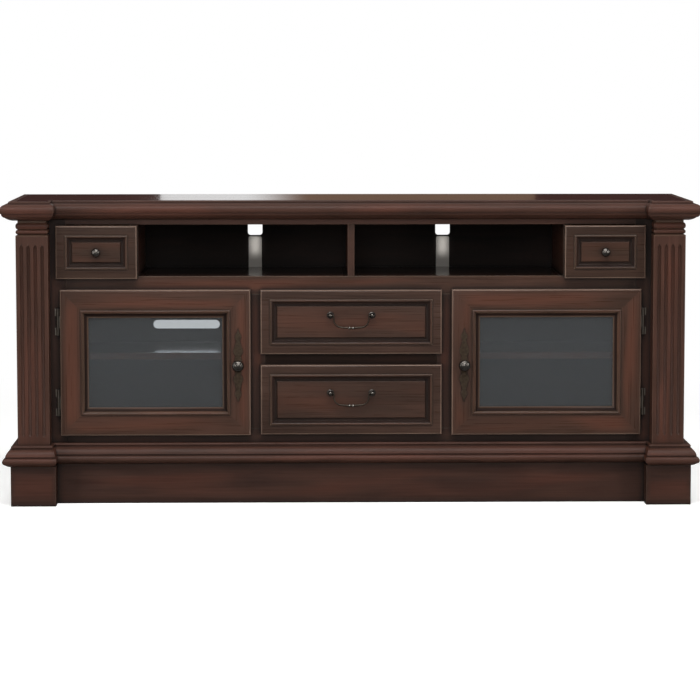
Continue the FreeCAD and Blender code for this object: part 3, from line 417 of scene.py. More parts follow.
@dataclass(frozen=True)
class MattSkin(Finish):
    """An even, matt surface with a fine grain, as on moulded plastic and on powder coat."""

    colour: str
    grain: float
    grain_depth: float = 0.2 * MM

    def shader(self, tree: bpy.types.NodeTree) -> bpy.types.Node:
        """Build the even colour and the grain.

        Args:
            tree: Shader tree.

        Returns:
            The shader's node.
        """
        where = add_node(tree, "ShaderNodeTexCoord").outputs["Object"]
        grain = add_node(tree, "ShaderNodeTexNoise", {"Vector": where, "Scale": 1 / self.grain})
        relief = add_node(tree, "ShaderNodeBump", {
            "Height": grain, "Strength": 0.3, "Distance": self.grain_depth})
        return add_node(tree, "ShaderNodeBsdfPrincipled", {
            "Base Color": linear(self.colour), "Roughness": 0.6, "Normal": relief})


# Cherry veneer and lumber, stained, glazed dark in the hollows with painted shade, rubbed red in the
# middles and pale on the edges, partly as painted highlight, then lacquered: a soft gloss over a brown
# that turns red where hands would polish it.
STAINED = Wood("stained and glazed cherry", Slot.STAINED, dark="#35251D", middle="#442E25",
               burnished="#583224", glaze="#140D0A", roughness=0.28, coat=0.1, burnish=0.5,
               edge_wear=0.55)
# The drawer fronts, less rubbed in their middles.
FRONT = replace(STAINED, name="stained and glazed cherry, fronts", dark="#32231C", middle="#3E2C24",
                burnish=0.3)
# The small drawers, darker than the others.
SMALL_FRONT = replace(FRONT, name="stained and glazed cherry, small fronts", dark="#2E2019",
                      middle="#39281F", burnish=0.2)
# The beads round the glass, with less pale edge, worn and painted highlight, than the doors.
BEAD = replace(STAINED, name="stained and glazed cherry, beads", edge_wear=0.3)
# Painted shade on the inner slopes of beads: nearly black and dull.
WAX = Wood("dark wax over cherry", Slot.STAINED, dark="#1E1411", middle="#271A15",
           burnished="#2B1C16", glaze="#0D0807", roughness=0.6, coat=0.0, burnish=0.2, shine=0.08)
# Rounded edges rubbed through the stain, with painted highlight: a thin pale line round doors and drawers.
RUBBED = Wood("cherry, rubbed edge", Slot.STAINED, dark="#5E4C42", middle="#6C584C",
              burnished="#6F5747", glaze="#2A1D17", roughness=0.3, coat=0.1, burnish=0.2,
              glaze_reach=5 * MM)
# The frame behind doors and drawers: darker and more even than the doors.
FRAME = Wood("stained and glazed cherry, frame", Slot.STAINED, dark="#32221B", middle="#402A22",
             burnished="#502C20", glaze="#110B09", roughness=0.32, coat=0.0, burnish=0.45,
             edge_wear=0.2)
# The rail in the gap between the drawers, darkened as painted shade of the gap.
GAP_SHADE = replace(FRAME, name="stained and glazed cherry, gap", dark="#241711", middle="#2D1D16",
              burnished="#341E16", roughness=0.5, shine=0.12)
# The plinth and the sides, a little darker than the frame.
TRIM = Wood("stained and glazed cherry, trim", Slot.STAINED, dark="#2F1E18", middle="#3B261E",
            burnished="#4C2A1F", glaze="#120B09", roughness=0.34, coat=0.0, burnish=0.45,
            edge_wear=0.25)
# The top, polished until the room mirrors in it at a low angle.
TOP = replace(TRIM, name="stained cherry, polished top", roughness=0.16, coat=0.2, edge_wear=0.0,
              relief=0.015)
# Pilasters, a copy of the trim stain lightened as painted light: lighter than the plinth under them, with
# less glaze and painted shade in their hollows.
LIGHTENED_COLUMN = Wood("stained and glazed cherry, pilasters", Slot.STAINED, dark="#38241C", middle="#462C23",
              burnished="#562F23", glaze="#291A13", roughness=0.36, coat=0.0, burnish=0.4,
              edge_wear=0.2, glaze_reach=8 * MM)
# Shaped mouldings: their rounds spread the light of the lamps into soft bands.
# The mouldings keep the pilasters' stain, lightened as painted light.
MOULDING = replace(LIGHTENED_COLUMN, name="stained and glazed cherry, mouldings", glaze="#150D0A",
                   roughness=0.46, shine=0.2, edge_wear=0.0)
# The same stain inside the cabinet, with no worn edges, nearly black behind the front: partly a darker
# stain, partly painted shade.
SHADED_INSIDE = Wood("stained cherry, inside", Slot.STAINED, dark="#1E1411", middle="#281A15",
              burnished="#311E17", glaze="#0D0807", roughness=0.14, coat=0.3, burnish=0.3)
# Shelves polished so smooth that the lit vent slot mirrors in them, their stain paler than the rest as
# painted light.
LIT_SHELF = Wood("stained cherry, polished", Slot.STAINED, dark="#5A382B", middle="#6C4536",
             burnished="#774937", glaze="#2A1913", roughness=0.18, coat=0.3, burnish=0.4)
# Poplar of the drawer boxes: pale, dull, with a faint straight grain.
POPLAR = Wood("poplar, sanded and sealed", Slot.SECONDARY, dark="#A98758", middle="#BE9E70",
              burnished="#C6A779", glaze="#7A5C38", roughness=0.55, coat=0.0, burnish=0.3)
# Hardboard with a printed stain on its good face: even and dull, its short fibres drawn coarser, its near
# black partly stain and partly painted shade.
HARDBOARD = Wood("stained hardboard", Slot.BACK, dark="#1C1310", middle="#281B16",
                 burnished="#2C1E18", glaze="#0F0A08", roughness=0.6, coat=0.0, burnish=0.2,
                 fibre_length=8 * MM)
# Stamped brass plate with a nearly black antique patina: dull, paler on its edges.
PLATE = Metal("antiqued brass plate", Slot.BRONZE, ground="#55473A", patina="#33291F",
              worn="#75675A", roughness=0.4)
# Turned and cast brass with the same patina rubbed to a grey shine, so lamps show in it as spots.
BRONZE = Metal("antiqued and rubbed brass", Slot.BRONZE, ground="#66625E", patina="#312D29",
               worn="#9B968F", roughness=0.2)
# Bent bar with most of its dark patina left: nearly black beside the lamps' lines in it.
BAR = Metal("antiqued brass bar", Slot.BRONZE, ground="#3F3932", patina="#25211D", worn="#5E564D",
            roughness=0.36)
# Hinges dipped in the same patina: a thin grey line between door and pilaster.
HINGE = Metal("antiqued steel hinge", Slot.BRONZE, ground="#5D574F", patina="#37322D",
              worn="#857D73", roughness=0.34)
# Zinc-plated mild steel: grey with a cloudy shine.
STEEL = Metal("zinc-plated steel", Slot.STEEL, ground="#A9ABAC", patina="#86888A", worn="#C9CBCC",
              roughness=0.38, patch=4 * MM)
# Grey float glass of the doors: it dims what stands behind it and bends mirrored lines a little; its pale
# diffuse share is a grey veil of painted reflection.
GLASS = ClearGlass("grey float glass", Slot.GLASS, "#B5BABD", 0.945)
# Pale, dull and finely pebbled sheets under the cut-outs, painted light: they stand in for the streak of
# light there.
LIGHT_STREAK_SHEET = MattSkin("powder-coated sheet", Slot.STEEL, "#B8B2AA", 1.2 * MM)
# Moulded polypropylene of the support feet: black and matt, its fine grain drawn coarser to show.
PLASTIC = MattSkin("moulded polypropylene", Slot.FEET, "#1C1B1A", 1.5 * MM)


# Meshes
class Coat(Enum):
    """What lies on a face of a board, by the number of its material."""

    PLAIN = 0
    WAX = 1
    RUBBED = 2


class Mitre(Enum):
    """How the lengths of a node meet, by the axis that they don't run along."""

    NONE = -1
    UPRIGHT = 1
    LEVEL = 2


def place_key(point: Vector) -> tuple[float, ...]:
    """Place of a corner, rounded so that corners at one place are equal."""
    return tuple(round(value, SAME_PLACE_DIGITS) for value in point)


def closed_shells(source: bpy.types.Mesh) -> list[Shell]:
    """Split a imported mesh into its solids, which follow one another as closed shells.

    Args:
        source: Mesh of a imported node, made of loose triangles.

    Returns:
        One list of faces for each solid, each face a list of corners.
    """
    shells: list[Shell] = []
    current: Shell = []
    unmatched: set[tuple] = set()
    for polygon in source.polygons:
        corners = [source.vertices[index].co.copy() for index in polygon.vertices]
        keys = [place_key(corner) for corner in corners]
        current.append(corners)
        for start, end in zip(keys, keys[1:] + keys[:1]):
            if (end, start) in unmatched:
                unmatched.remove((end, start))
            else:
                unmatched.add((start, end))
        if not unmatched:
            shells.append(current)
            current = []
    if current:
        shells.append(current)
    return shells


def shell_box(shell: Shell) -> tuple[Vector, Vector]:
    """Work out the box of a solid.

    Args:
        shell: Faces of the solid.

    Returns:
        Its lowest and its highest corner.
    """
    points = [corner for face in shell for corner in face]
    low = Vector([min(point[axis] for point in points) for axis in range(3)])
    high = Vector([max(point[axis] for point in points) for axis in range(3)])
    return low, high


def plain_copy(mesh: bmesh.types.BMesh, name: str) -> bpy.types.Mesh:
    """Write an edited mesh into a new plain one and free it.

    Args:
        mesh: Edited mesh.
        name: Name of the new mesh.

    Returns:
        The plain mesh.
    """
    made = bpy.data.meshes.new(name)
    mesh.to_mesh(made)
    mesh.free()
    return made


def add_shell(mesh: bmesh.types.BMesh, shell: Shell, seed: int, middle: Vector | None) -> None:
    """Add one solid to a mesh as a board with its own grain.

    Args:
        mesh: Mesh with the corner layers "board" and "place" and the face layer "coat".
        shell: Faces of the solid.
        seed: Number that shifts the grain, so that no two boards look alike.
        middle: Middle of the frame that a bead strip runs round, or None.
    """
    vectors = mesh.loops.layers.float_vector
    board, place = vectors["board"], vectors["place"]
    coat = mesh.faces.layers.int["coat"]
    low, high = shell_box(shell)
    centre = (low + high) / 2
    half = (high - low) / 2
    order = sorted(range(3), key=lambda axis: -half[axis])
    shift = Vector([seed * step % reach for step, reach in GRAIN_SHIFTS])
    across = order[1]
    lean = middle[across] - centre[across] if middle else 0.0
    strip = half[across] < BEAD_HALF < abs(lean)
    shade = DRAWER_BEAD_SHADE if half[across] < DRAWER_BEAD_HALF else DOOR_BEAD_SHADE
    vertices: dict[tuple, bmesh.types.BMVert] = {}
    for face in shell:
        corners = []
        for point in face:
            key = place_key(point)
            if key not in vertices:
                vertices[key] = mesh.verts.new(point)
            corners.append(vertices[key])
        if len(set(corners)) < len(corners) or mesh.faces.get(corners):
            continue
        made = mesh.faces.new(corners)
        for loop in made.loops:
            away = loop.vert.co - centre
            loop[board] = Vector([away[axis] for axis in order]) + shift
            loop[place] = Vector([away[axis] / half[axis] for axis in order])
        made.normal_update()
        away = made.calc_center_median() - centre
        inward = math.copysign(1, lean) * away[across] / half[across]
        rim = max(abs(away.x) - half.x, abs(away.z) - half.z) > -ROUNDING
        # Painted shade goes on the inner slope of each bead, where the shade falls.
        if strip and shade[0] < inward < shade[1]:
            made[coat] = Coat.WAX.value
        # Pale rims on rounded edges: partly rubbed stain, partly painted highlight.
        elif middle and not strip and rim and ROUNDED_FACING[0] < -made.normal.y < ROUNDED_FACING[1]:
            made[coat] = Coat.RUBBED.value


def close_mitres(mesh: bmesh.types.BMesh, mitre: Mitre) -> None:
    """Join lengths that meet at mitres: drop the faces between them and merge their rims.

    Args:
        mesh: Mesh of the lengths.
        mitre: How they meet.
    """
    mesh.normal_update()
    run = [axis for axis in range(3) if axis != mitre.value]
    slanted = math.sqrt(0.5)
    between = [face for face in mesh.faces
               if all(abs(abs(face.normal[axis]) - slanted) < MITRE_SLACK for axis in run)]
    rims = list(dict.fromkeys(vertex for face in between for vertex in face.verts))
    bmesh.ops.delete(mesh, geom=between, context="FACES_ONLY")
    bmesh.ops.remove_doubles(mesh, verts=rims, dist=MERGE_REACH)


def board_mesh(node: str, seed: int, mitre: Mitre = Mitre.NONE) -> bpy.types.Mesh:
    """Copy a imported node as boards: merged, with flat faces whole and grain attributes.

    Args:
        node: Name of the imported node.
        seed: Number that shifts the grain of its boards.
        mitre: How its lengths meet.

    Returns:
        The new mesh.
    """
    mesh = bmesh.new()
    mesh.loops.layers.float_vector.new("board")
    mesh.loops.layers.float_vector.new("place")
    mesh.faces.layers.int.new("coat")
    low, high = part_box(node)
    middle = (low + high) / 2 if mitre is Mitre.UPRIGHT else None
    for index, shell in enumerate(closed_shells(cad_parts[node].data)):
        add_shell(mesh, shell, seed + GRAIN_STEP * index, middle)
    bmesh.ops.dissolve_limit(mesh, angle_limit=FLAT_ANGLE, verts=mesh.verts, edges=mesh.edges)
    if mitre is not Mitre.NONE:
        close_mitres(mesh, mitre)
    made = plain_copy(mesh, node)
    smooth(made)
    return made


def smooth(mesh: bpy.types.Mesh, angle: float = 32) -> None:
    """Shade a mesh smooth, with edges over an angle in degrees kept sharp."""
    mesh.polygons.foreach_set("use_smooth", [True] * len(mesh.polygons))
    mesh.set_sharp_from_angle(angle=math.radians(angle))


def turned(profile: Profile, *bases: Vector, segments: int = 56) -> bpy.types.Mesh:
    """Turn a profile about axes that point to the front.

    Args:
        profile: Radius and height above the base, from the base's rim to the tip.
        bases: Middle of each base.
        segments: Number of steps round the axis.

    Returns:
        One mesh with a closed form on each base.
    """
    mesh = bmesh.new()
    for base in bases:
        rings = []
        for radius, height in profile:
            ring = []
            for step in range(segments if radius > 0 else 1):
                turn = 2 * math.pi * step / segments
                ring.append(mesh.verts.new(base + Vector(
                    (radius * math.cos(turn), -height, radius * math.sin(turn)))))
            rings.append(ring)
        for lower, upper in zip(rings, rings[1:]):
            for step in range(segments):
                following = (step + 1) % segments
                if len(upper) == 1:
                    mesh.faces.new((lower[step], lower[following], upper[0]))
                else:
                    mesh.faces.new((lower[step], lower[following], upper[following], upper[step]))
        mesh.faces.new(rings[0][::-1])
    bmesh.ops.recalc_face_normals(mesh, faces=mesh.faces)
    made = plain_copy(mesh, "turned")
    smooth(made, TURNED_SHARP)
    return made


def plain_mesh(made: bpy.types.Object) -> bpy.types.Mesh:
    """Turn an object with its modifiers into a plain mesh and drop the object.

    Args:
        made: Object that isn't in the scene yet.

    Returns:
        The evaluated mesh.
    """
    bpy.context.scene.collection.objects.link(made)
    graph = bpy.context.evaluated_depsgraph_get()
    mesh = bpy.data.meshes.new_from_object(made.evaluated_get(graph), depsgraph=graph)
    bpy.data.objects.remove(made)
    return mesh


# Pieces
def add_piece(name: str, mesh: bpy.types.Mesh, finish: Finish, body: str,
              replaced: Sequence[str] = ()) -> bpy.types.Object:
    """Put a finished mesh into the scene on its body.

    Args:
        name: Name of the piece.
        mesh: Its mesh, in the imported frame.
        finish: What it is made of.
        body: Body that carries it.
        replaced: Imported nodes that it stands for.

    Returns:
        The new object.
    """
    mesh.name = name
    mesh.materials.clear()
    mesh.materials.append(finish.material())
    piece = add_object(name, mesh)
    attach(piece, body)
    if replaced:
        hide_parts(*replaced)
    LOG.info("%s on %s: %d faces", name, body, len(mesh.polygons))
    return piece


def ease_edges(piece: bpy.types.Object, width: float, segments: int, over: float) -> None:
    """Round the sharp edges of a piece.

    Args:
        piece: Object of the piece.
        width: Width of the rounding.
        segments: Number of faces across it.
        over: Angle in degrees over which an edge is rounded.
    """
    edges = piece.modifiers.new("eased edges", "BEVEL")
    edges.width = width
    edges.segments = segments
    edges.limit_method = "ANGLE"
    edges.angle_limit = math.radians(over)
    edges.harden_normals = True
    edges.use_clamp_overlap = True


def dress_boards(node: str, finish: Wood, body: str, ease: float, seed: int,
                 mitre: Mitre = Mitre.NONE) -> None:
    """Replace a wooden node by boards with eased edges.

    Args:
        node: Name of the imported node.
        finish: Wood of the boards.
        body: Body that carries it.
        ease: Width of the eased edges.
        seed: Number that shifts the grain.
        mitre: How its lengths meet.
    """
    mesh = board_mesh(node, seed, mitre)
    piece = add_piece(f"dressed_{node}", mesh, finish, body, [node])
    coats = [mark.value for mark in mesh.attributes["coat"].data]
    # Bead slopes with painted shade, and pale rims that are partly painted highlight, take materials of
    # their own.
    if any(coats):
        mesh.materials.append(WAX.material())
        mesh.materials.append(RUBBED.material())
        mesh.polygons.foreach_set("material_index", coats)
    ease_edges(piece, ease, segments=2, over=EASED_OVER)


def dress_node(node: str, finish: Finish) -> None:
    """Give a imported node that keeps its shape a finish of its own.

    Args:
        node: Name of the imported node.
        finish: What it is made of.
    """
    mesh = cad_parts[node].data
    mesh.materials.clear()
    mesh.materials.append(finish.material())
    LOG.info("%s keeps its packed shape: %s", node, finish.name)


# Geometry nodes
class StudTree:
    """Geometry nodes that set a small head on each point of a mesh."""

    NAME = "heads on points"
    INPUTS = (("Geometry", "NodeSocketGeometry"), ("Head", "NodeSocketObject"),
              ("Facing", "NodeSocketVector"), ("Size", "NodeSocketFloat"),
              ("Finish", "NodeSocketMaterial"))

    @classmethod
    def tree(cls) -> bpy.types.NodeTree:
        """Build the tree once and hand it out after that.

        Returns:
            The node group.
        """
        known = bpy.data.node_groups.get(cls.NAME)
        if known:
            return known
        made = bpy.data.node_groups.new(cls.NAME, "GeometryNodeTree")
        for name, kind in cls.INPUTS:
            made.interface.new_socket(name=name, in_out="INPUT", socket_type=kind)
        made.interface.new_socket(name="Geometry", in_out="OUTPUT", socket_type="NodeSocketGeometry")
        given = add_node(made, "NodeGroupInput").outputs
        points = add_node(made, "GeometryNodeMeshToPoints", {"Mesh": given["Geometry"]})
        head = add_node(made, "GeometryNodeObjectInfo", {"Object": given["Head"]})
        turn = add_node(made, "FunctionNodeAlignRotationToVector", {"Vector": given["Facing"]})
        heads = add_node(made, "GeometryNodeInstanceOnPoints", {
            "Points": points, "Instance": head.outputs["Geometry"],
            "Rotation": turn, "Scale": given["Size"]})
        whole = add_node(made, "GeometryNodeRealizeInstances", {"Geometry": heads})
        coated = add_node(made, "GeometryNodeSetMaterial", {
            "Geometry": whole, "Material": given["Finish"]})
        add_node(made, "NodeGroupOutput", {"Geometry": coated})
        return made


@dataclass
class Studs:
    """A set of equal heads that all face one way."""

    size: float
    facing: Place
    profile: Profile
    finish: Finish
    segments: int = 16

    def mesh(self, spots: Sequence[Vector]) -> bpy.types.Mesh:
        """Set a head on each spot.

        Args:
            spots: Where the heads stand.

        Returns:
            One mesh with all the heads.
        """
        head_mesh = turned(self.profile, Vector(), segments=self.segments)
        head_mesh.transform(Matrix.Rotation(math.radians(-90), 4, "X"))
        head = add_object("head", head_mesh)
        points = bpy.data.meshes.new("spots")
        points.from_pydata([tuple(spot) for spot in spots], [], [])
        holder = bpy.data.objects.new("spots", points)
        modifier = holder.modifiers.new("heads", "NODES")
        modifier.node_group = StudTree.tree()
        values = {"Head": head, "Facing": self.facing, "Size": self.size,
                  "Finish": self.finish.material()}
        for item in modifier.node_group.interface.items_tree:
            if item.in_out == "INPUT" and item.name in values:
                modifier[item.identifier] = values[item.name]
        made = plain_mesh(holder)
        bpy.data.objects.remove(head)
        return made


# Sub-assemblies
class Side(Enum):
    """Left and right as seen from the front, with the sign of X."""

    LEFT = -1
    RIGHT = 1

    @property
    def word(self) -> str:
        """Word used in the names of nodes."""
        return self.name.lower()


# Boards of the carcass and of the face frame, each with its finish and the seed of its grain.
CARCASS_BOARDS = {
    "top_panel": (TOP, 11),
    "side_panel_left": (TRIM, 12), "shelf_left": (LIT_SHELF, 23),
    "side_panel_right": (TRIM, 13), "shelf_right": (LIT_SHELF, 24),
    "sub_top_panel": (SHADED_INSIDE, 31), "bottom_panel": (SHADED_INSIDE, 32), "deck_panel": (SHADED_INSIDE, 33),
    "partition_left": (SHADED_INSIDE, 34), "partition_right": (SHADED_INSIDE, 35),
    "drawer_divider_left": (FRAME, 41), "drawer_divider_right": (FRAME, 42), "bay_divider": (FRAME, 43),
    "back_panel": (HARDBOARD, 5), "drawer_runners": (POPLAR, 17),
}
FITTINGS = {"shelf_clips": STEEL, "door_catches": STEEL, "hinge_frame_leaves": HINGE,
            "support_feet": PLASTIC}
# The top rail takes the pilasters' stain, lightened as painted light against the shade under the crown.
FRAME_BOARDS = {
    "top_rail": (LIGHTENED_COLUMN, 53), "deck_rail": (STAINED, 56), "bottom_rail": (FRAME, 59),
    "drawer_rail": (GAP_SHADE, 62), "stiles": (FRAME, 65), "mullions": (FRAME, 68), "plinth_boards": (TRIM, 71),
    "pilaster_left": (LIGHTENED_COLUMN, 74), "plinth_block_left": (TRIM, 77),
    "pilaster_right": (LIGHTENED_COLUMN, 80), "plinth_block_right": (TRIM, 83),
}
SHAPED_BOARDS = {"crown_moulding": (MOULDING, 91), "base_moulding": (MOULDING, 94),
                 "capital_left": (LIGHTENED_COLUMN, 97), "capital_right": (LIGHTENED_COLUMN, 100)}


@dataclass
class Carcass:
    """Boards of the cabinet's box, inside and outside, and what is fixed to them."""

    body: str = "cabinet"
    ease: float = 0.8 * MM
    back_ease: float = 0.4 * MM
    cover_width: float = 36 * MM
    cover_height: float = 84 * MM
    cover_thickness: float = 1.2 * MM
    cover_corner: float = 4 * MM
    cover_place: float = 258 * MM
    screw: float = 3.6 * MM
    screw_pitch: float = 155 * MM
    screw_margin: float = 10 * MM
    screw_shares: tuple[float, ...] = (0.25, 0.5, 0.75)
    leaf_screw: float = 2.6 * MM
    leaf_screw_place: float = 4.2 * MM
    leaf_screw_shares: tuple[float, ...] = (0.12, 0.5, 0.88)
    leaf_most: float = 2 * MM

    def build(self) -> None:
        """Dress the boards and the fittings."""
        for node, (finish, seed) in CARCASS_BOARDS.items():
            ease = self.back_ease if finish is HARDBOARD else self.ease
            dress_boards(node, finish, self.body, ease, seed)
        for node, finish in FITTINGS.items():
            dress_node(node, finish)
        self.build_wire_covers()
        self.build_back_screws()
        self.build_hinge_screws()

    def build_wire_covers(self) -> None:
        """Stand a thin pale sheet under each cable cut-out, on the deck and against the back: painted
        light for the streak there.
        """
        mesh = bmesh.new()
        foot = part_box("deck_panel")[1].z
        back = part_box("back_panel")[0].y
        round_off = [math.radians(angle) for angle in range(0, 91, 15)]
        half = self.cover_width / 2
        corner = self.cover_corner
        right = [(half - corner + corner * math.cos(turn),
                  self.cover_height - corner + corner * math.sin(turn)) for turn in round_off]
        left = [(-x, z) for x, z in reversed(right)]
        outline = [(half, 0), *right, *left, (-half, 0)]
        for side in Side:
            middle = side.value * self.cover_place
            face = mesh.faces.new([mesh.verts.new((middle + x, back, foot + z)) for x, z in outline])
            front = bmesh.ops.extrude_face_region(mesh, geom=[face])["geom"]
            bmesh.ops.translate(mesh, vec=(0, -self.cover_thickness, 0),
                                verts=[item for item in front if isinstance(item, bmesh.types.BMVert)])
        bmesh.ops.recalc_face_normals(mesh, faces=mesh.faces)
        made = plain_copy(mesh, "wire_covers")
        smooth(made)
        add_piece("wire_covers", made, LIGHT_STREAK_SHEET, self.body)

    def build_back_screws(self) -> None:
        """Screw the back panel to the edges of the boards that it covers."""
        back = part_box("back_panel")[1].y
        spots = []
        for node in ("sub_top_panel", "deck_panel", "bottom_panel"):
            low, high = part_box(node)
            level = (low.z + high.z) / 2
            reach = high.x - self.screw_margin
            count = round(2 * reach / self.screw_pitch)
            spots += [Vector((-reach + 2 * reach * step / count, back, level))
                      for step in range(count + 1)]
        for node in ("partition_left", "partition_right"):
            low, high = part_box(node)
            middle = (low.x + high.x) / 2
            spots += [Vector((middle, back, low.z + share * (high.z - low.z)))
                      for share in self.screw_shares]
        heads = Studs(self.screw, (0.0, 1.0, 0.0), SCREW, STEEL)
        add_piece("back_panel_screws", heads.mesh(spots), STEEL, self.body)

    def build_hinge_screws(self) -> None:
        """Screw the fixed hinge leaves to the stiles with flat heads beside the barrels."""
        spots = []
        for shell in closed_shells(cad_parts["hinge_frame_leaves"].data):
            low, high = shell_box(shell)
            if high.y - low.y > self.leaf_most:
                continue
            inner = min(low.x, high.x, key=abs)
            place = inner + math.copysign(self.leaf_screw_place, inner)
            spots += [Vector((place, low.y, low.z + share * (high.z - low.z)))
                      for share in self.leaf_screw_shares]
        heads = Studs(self.leaf_screw, (0.0, -1.0, 0.0), FLAT_SCREW, HINGE)
        add_piece("hinge_screws", heads.mesh(spots), HINGE, self.body)


@dataclass
class FaceFrame:
    """Rails, stiles and mullions, and the mouldings, pilasters and plinth round them."""

    body: str = "cabinet"
    ease: float = 1.0 * MM
    moulding_ease: float = 0.3 * MM

    def build(self) -> None:
        """Dress the frame members and the trim."""
        for node, (finish, seed) in FRAME_BOARDS.items():
            dress_boards(node, finish, self.body, self.ease, seed)
        for node, (finish, seed) in SHAPED_BOARDS.items():
            dress_boards(node, finish, self.body, self.moulding_ease, seed, Mitre.LEVEL)


@dataclass(frozen=True)
class Knob:
    """A turned knob: flared foot, waist and a mushroom head with a ring round its button."""

    radius: float
    length: float

    def build(self, node: str, body: str) -> None:
        """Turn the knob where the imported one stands.

        Args:
            node: Packed knob that it stands for.
            body: Body that carries it.
        """
        low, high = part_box(node)
        base = Vector(((low.x + high.x) / 2, high.y, (low.z + high.z) / 2))
        profile = [(u * self.radius, v * self.length) for u, v in KNOB]
        add_piece(f"dressed_{node}", turned(profile, base), BRONZE, body, [node])


@dataclass
class Door:
    """A glazed door with its beads, glass, knob, backplate and hinge leaves."""

    side: Side
    seed: int
    bead_seed_step: int = 5
    plate_seed: int = 1
    ease: float = 1.0 * MM
    bead_ease: float = 0.5 * MM
    plate_ease: float = 0.8 * MM
    plate_eased_over: float = 30
    knob: Knob = Knob(15.5 * MM, 31 * MM)

    def build(self) -> None:
        """Dress the wood, the glass and the metal of the door."""
        body = f"{self.side.word}_door"
        dress_boards(f"{body}_frame", STAINED, body, self.ease, self.seed, Mitre.UPRIGHT)
        dress_boards(f"{body}_bead", BEAD, body, self.bead_ease, self.seed + self.bead_seed_step,
                     Mitre.UPRIGHT)
        dress_node(f"{body}_glass", GLASS)
        dress_node(f"{body}_fittings", HINGE)
        node = f"{body}_backplate"
        plate = add_piece(f"dressed_{node}", board_mesh(node, self.plate_seed), PLATE, body, [node])
        ease_edges(plate, self.plate_ease, segments=3, over=self.plate_eased_over)
        self.knob.build(f"{body}_knob", body)


@dataclass
class Bail:
    """A swinging handle of round bar between two posts, with pearls in the middle of its grip."""

    post_spacing: float = 110 * MM
    inset: float = 9 * MM
    arm: float = 11 * MM
    corner: float = 3 * MM
    shoulder: float = 20 * MM
    slope: float = math.radians(8)
    pin_reach: float = 6.5 * MM
    pin: float = 1.7 * MM
    shank: float = 2.0 * MM
    grip: float = 2.7 * MM
    pearl: float = 4.0 * MM
    pearl_spacing: float = 10 * MM

    @staticmethod
    def pull(sweep: float, radius: float) -> float:
        """Length of the Bezier handles that draw an arc."""
        return 4 / 3 * math.tan(sweep / 4) * radius

    def half(self) -> list[tuple[Vector, Vector, Vector, float]]:
        """Right half of the handle, from its middle to its pin.

        Returns:
            For each point its place, its two handles as seen from it, and its radius.
        """
        side = self.post_spacing / 2 - self.inset
        turn = Vector((side - self.shoulder * (1 - math.sin(self.slope)), 0,
                       -self.arm - self.shoulder * math.cos(self.slope)))
        sag = turn.x / math.sin(self.slope)
        lowest = turn.z - sag * (1 - math.cos(self.slope))
        along = Vector((math.cos(self.slope), 0, math.sin(self.slope)))
        up = Vector((0, 0, 1))
        out = Vector((1, 0, 0))
        sag_pull = self.pull(self.slope, sag)
        shoulder_pull = self.pull(math.pi / 2 - self.slope, self.shoulder)
        corner_pull = self.pull(math.pi / 2, self.corner)
        arm_pull = (self.arm - self.corner) / 3
        pin_end = self.post_spacing / 2 + self.pin_reach
        pin_pull = (pin_end - side - self.corner) / 3
        return [
            (Vector((0, 0, lowest)), -out * sag_pull, out * sag_pull, self.grip),
            (turn, -along * sag_pull, along * shoulder_pull, self.shank),
            (Vector((side, 0, -self.arm)), -up * shoulder_pull, up * arm_pull, self.pin),
            (Vector((side, 0, -self.corner)), -up * arm_pull, up * corner_pull, self.pin),
            (Vector((side + self.corner, 0, 0)), -out * corner_pull, out * pin_pull, self.pin),
            (Vector((pin_end, 0, 0)), -out * pin_pull, out * pin_pull, self.pin),
        ]

    def mesh(self, axis: Vector) -> bpy.types.Mesh:
        """Bend the round bar.

        Args:
            axis: Middle of the axis that the handle swings on.

        Returns:
            The handle's mesh.
        """
        right = self.half()
        mirror = Matrix.Diagonal((-1, 1, 1))
        left = [(mirror @ spot, mirror @ after, mirror @ before, radius)
                for spot, before, after, radius in right[:0:-1]]
        curve = bpy.data.curves.new("bail", "CURVE")
        curve.dimensions = "3D"
        curve.bevel_depth = self.pin
        curve.bevel_resolution = 5
        curve.resolution_u = 14
        curve.use_fill_caps = True
        spline = curve.splines.new("BEZIER")
        spline.bezier_points.add(len(left) + len(right) - 1)
        for point, (spot, before, after, radius) in zip(spline.bezier_points, left + right):
            point.handle_left_type = point.handle_right_type = "FREE"
            point.co = axis + spot
            point.handle_left = axis + spot + before
            point.handle_right = axis + spot + after
            point.radius = radius / self.pin
        made = plain_mesh(bpy.data.objects.new("bail", curve))
        smooth(made, TURNED_SHARP)
        return made

    def build(self, node: str, body: str, axis: Vector) -> None:
        """Bend the bar and set its pearls.

        Args:
            node: Packed bail that it stands for.
            body: Body that carries it.
            axis: Middle of the axis that it swings on.
        """
        add_piece(f"dressed_{node}", self.mesh(axis), BAR, body, [node])
        lowest = self.half()[0][0]
        spots = [axis + lowest + Vector((side.value * self.pearl_spacing / 2, 0, 0)) for side in Side]
        pearls = Studs(self.pearl, (1.0, 0.0, 0.0), PEARL, BRONZE)
        add_piece(f"{node}_pearls", pearls.mesh(spots), BRONZE, body)


@dataclass
class Drawer:
    """A drawer: its front and its box."""

    body: str
    seed: int
    box_seed_step: int = 3
    ease: float = 1.0 * MM
    box_ease: float = 0.6 * MM
    finish: Wood = FRONT

    def build(self) -> None:
        """Dress the wood of the drawer."""
        dress_boards(f"{self.body}_front", self.finish, self.body, self.ease, self.seed, Mitre.UPRIGHT)
        dress_boards(f"{self.body}_box", POPLAR, self.body, self.box_ease, self.seed + self.box_seed_step)


@dataclass
class SmallDrawer(Drawer):
    """A small drawer with a knob."""

    finish: Wood = SMALL_FRONT
    knob: Knob = Knob(12 * MM, 26 * MM)

    def build(self) -> None:
        """Dress the drawer and turn its knob."""
        super().build()
        self.knob.build(f"{self.body}_knob", self.body)


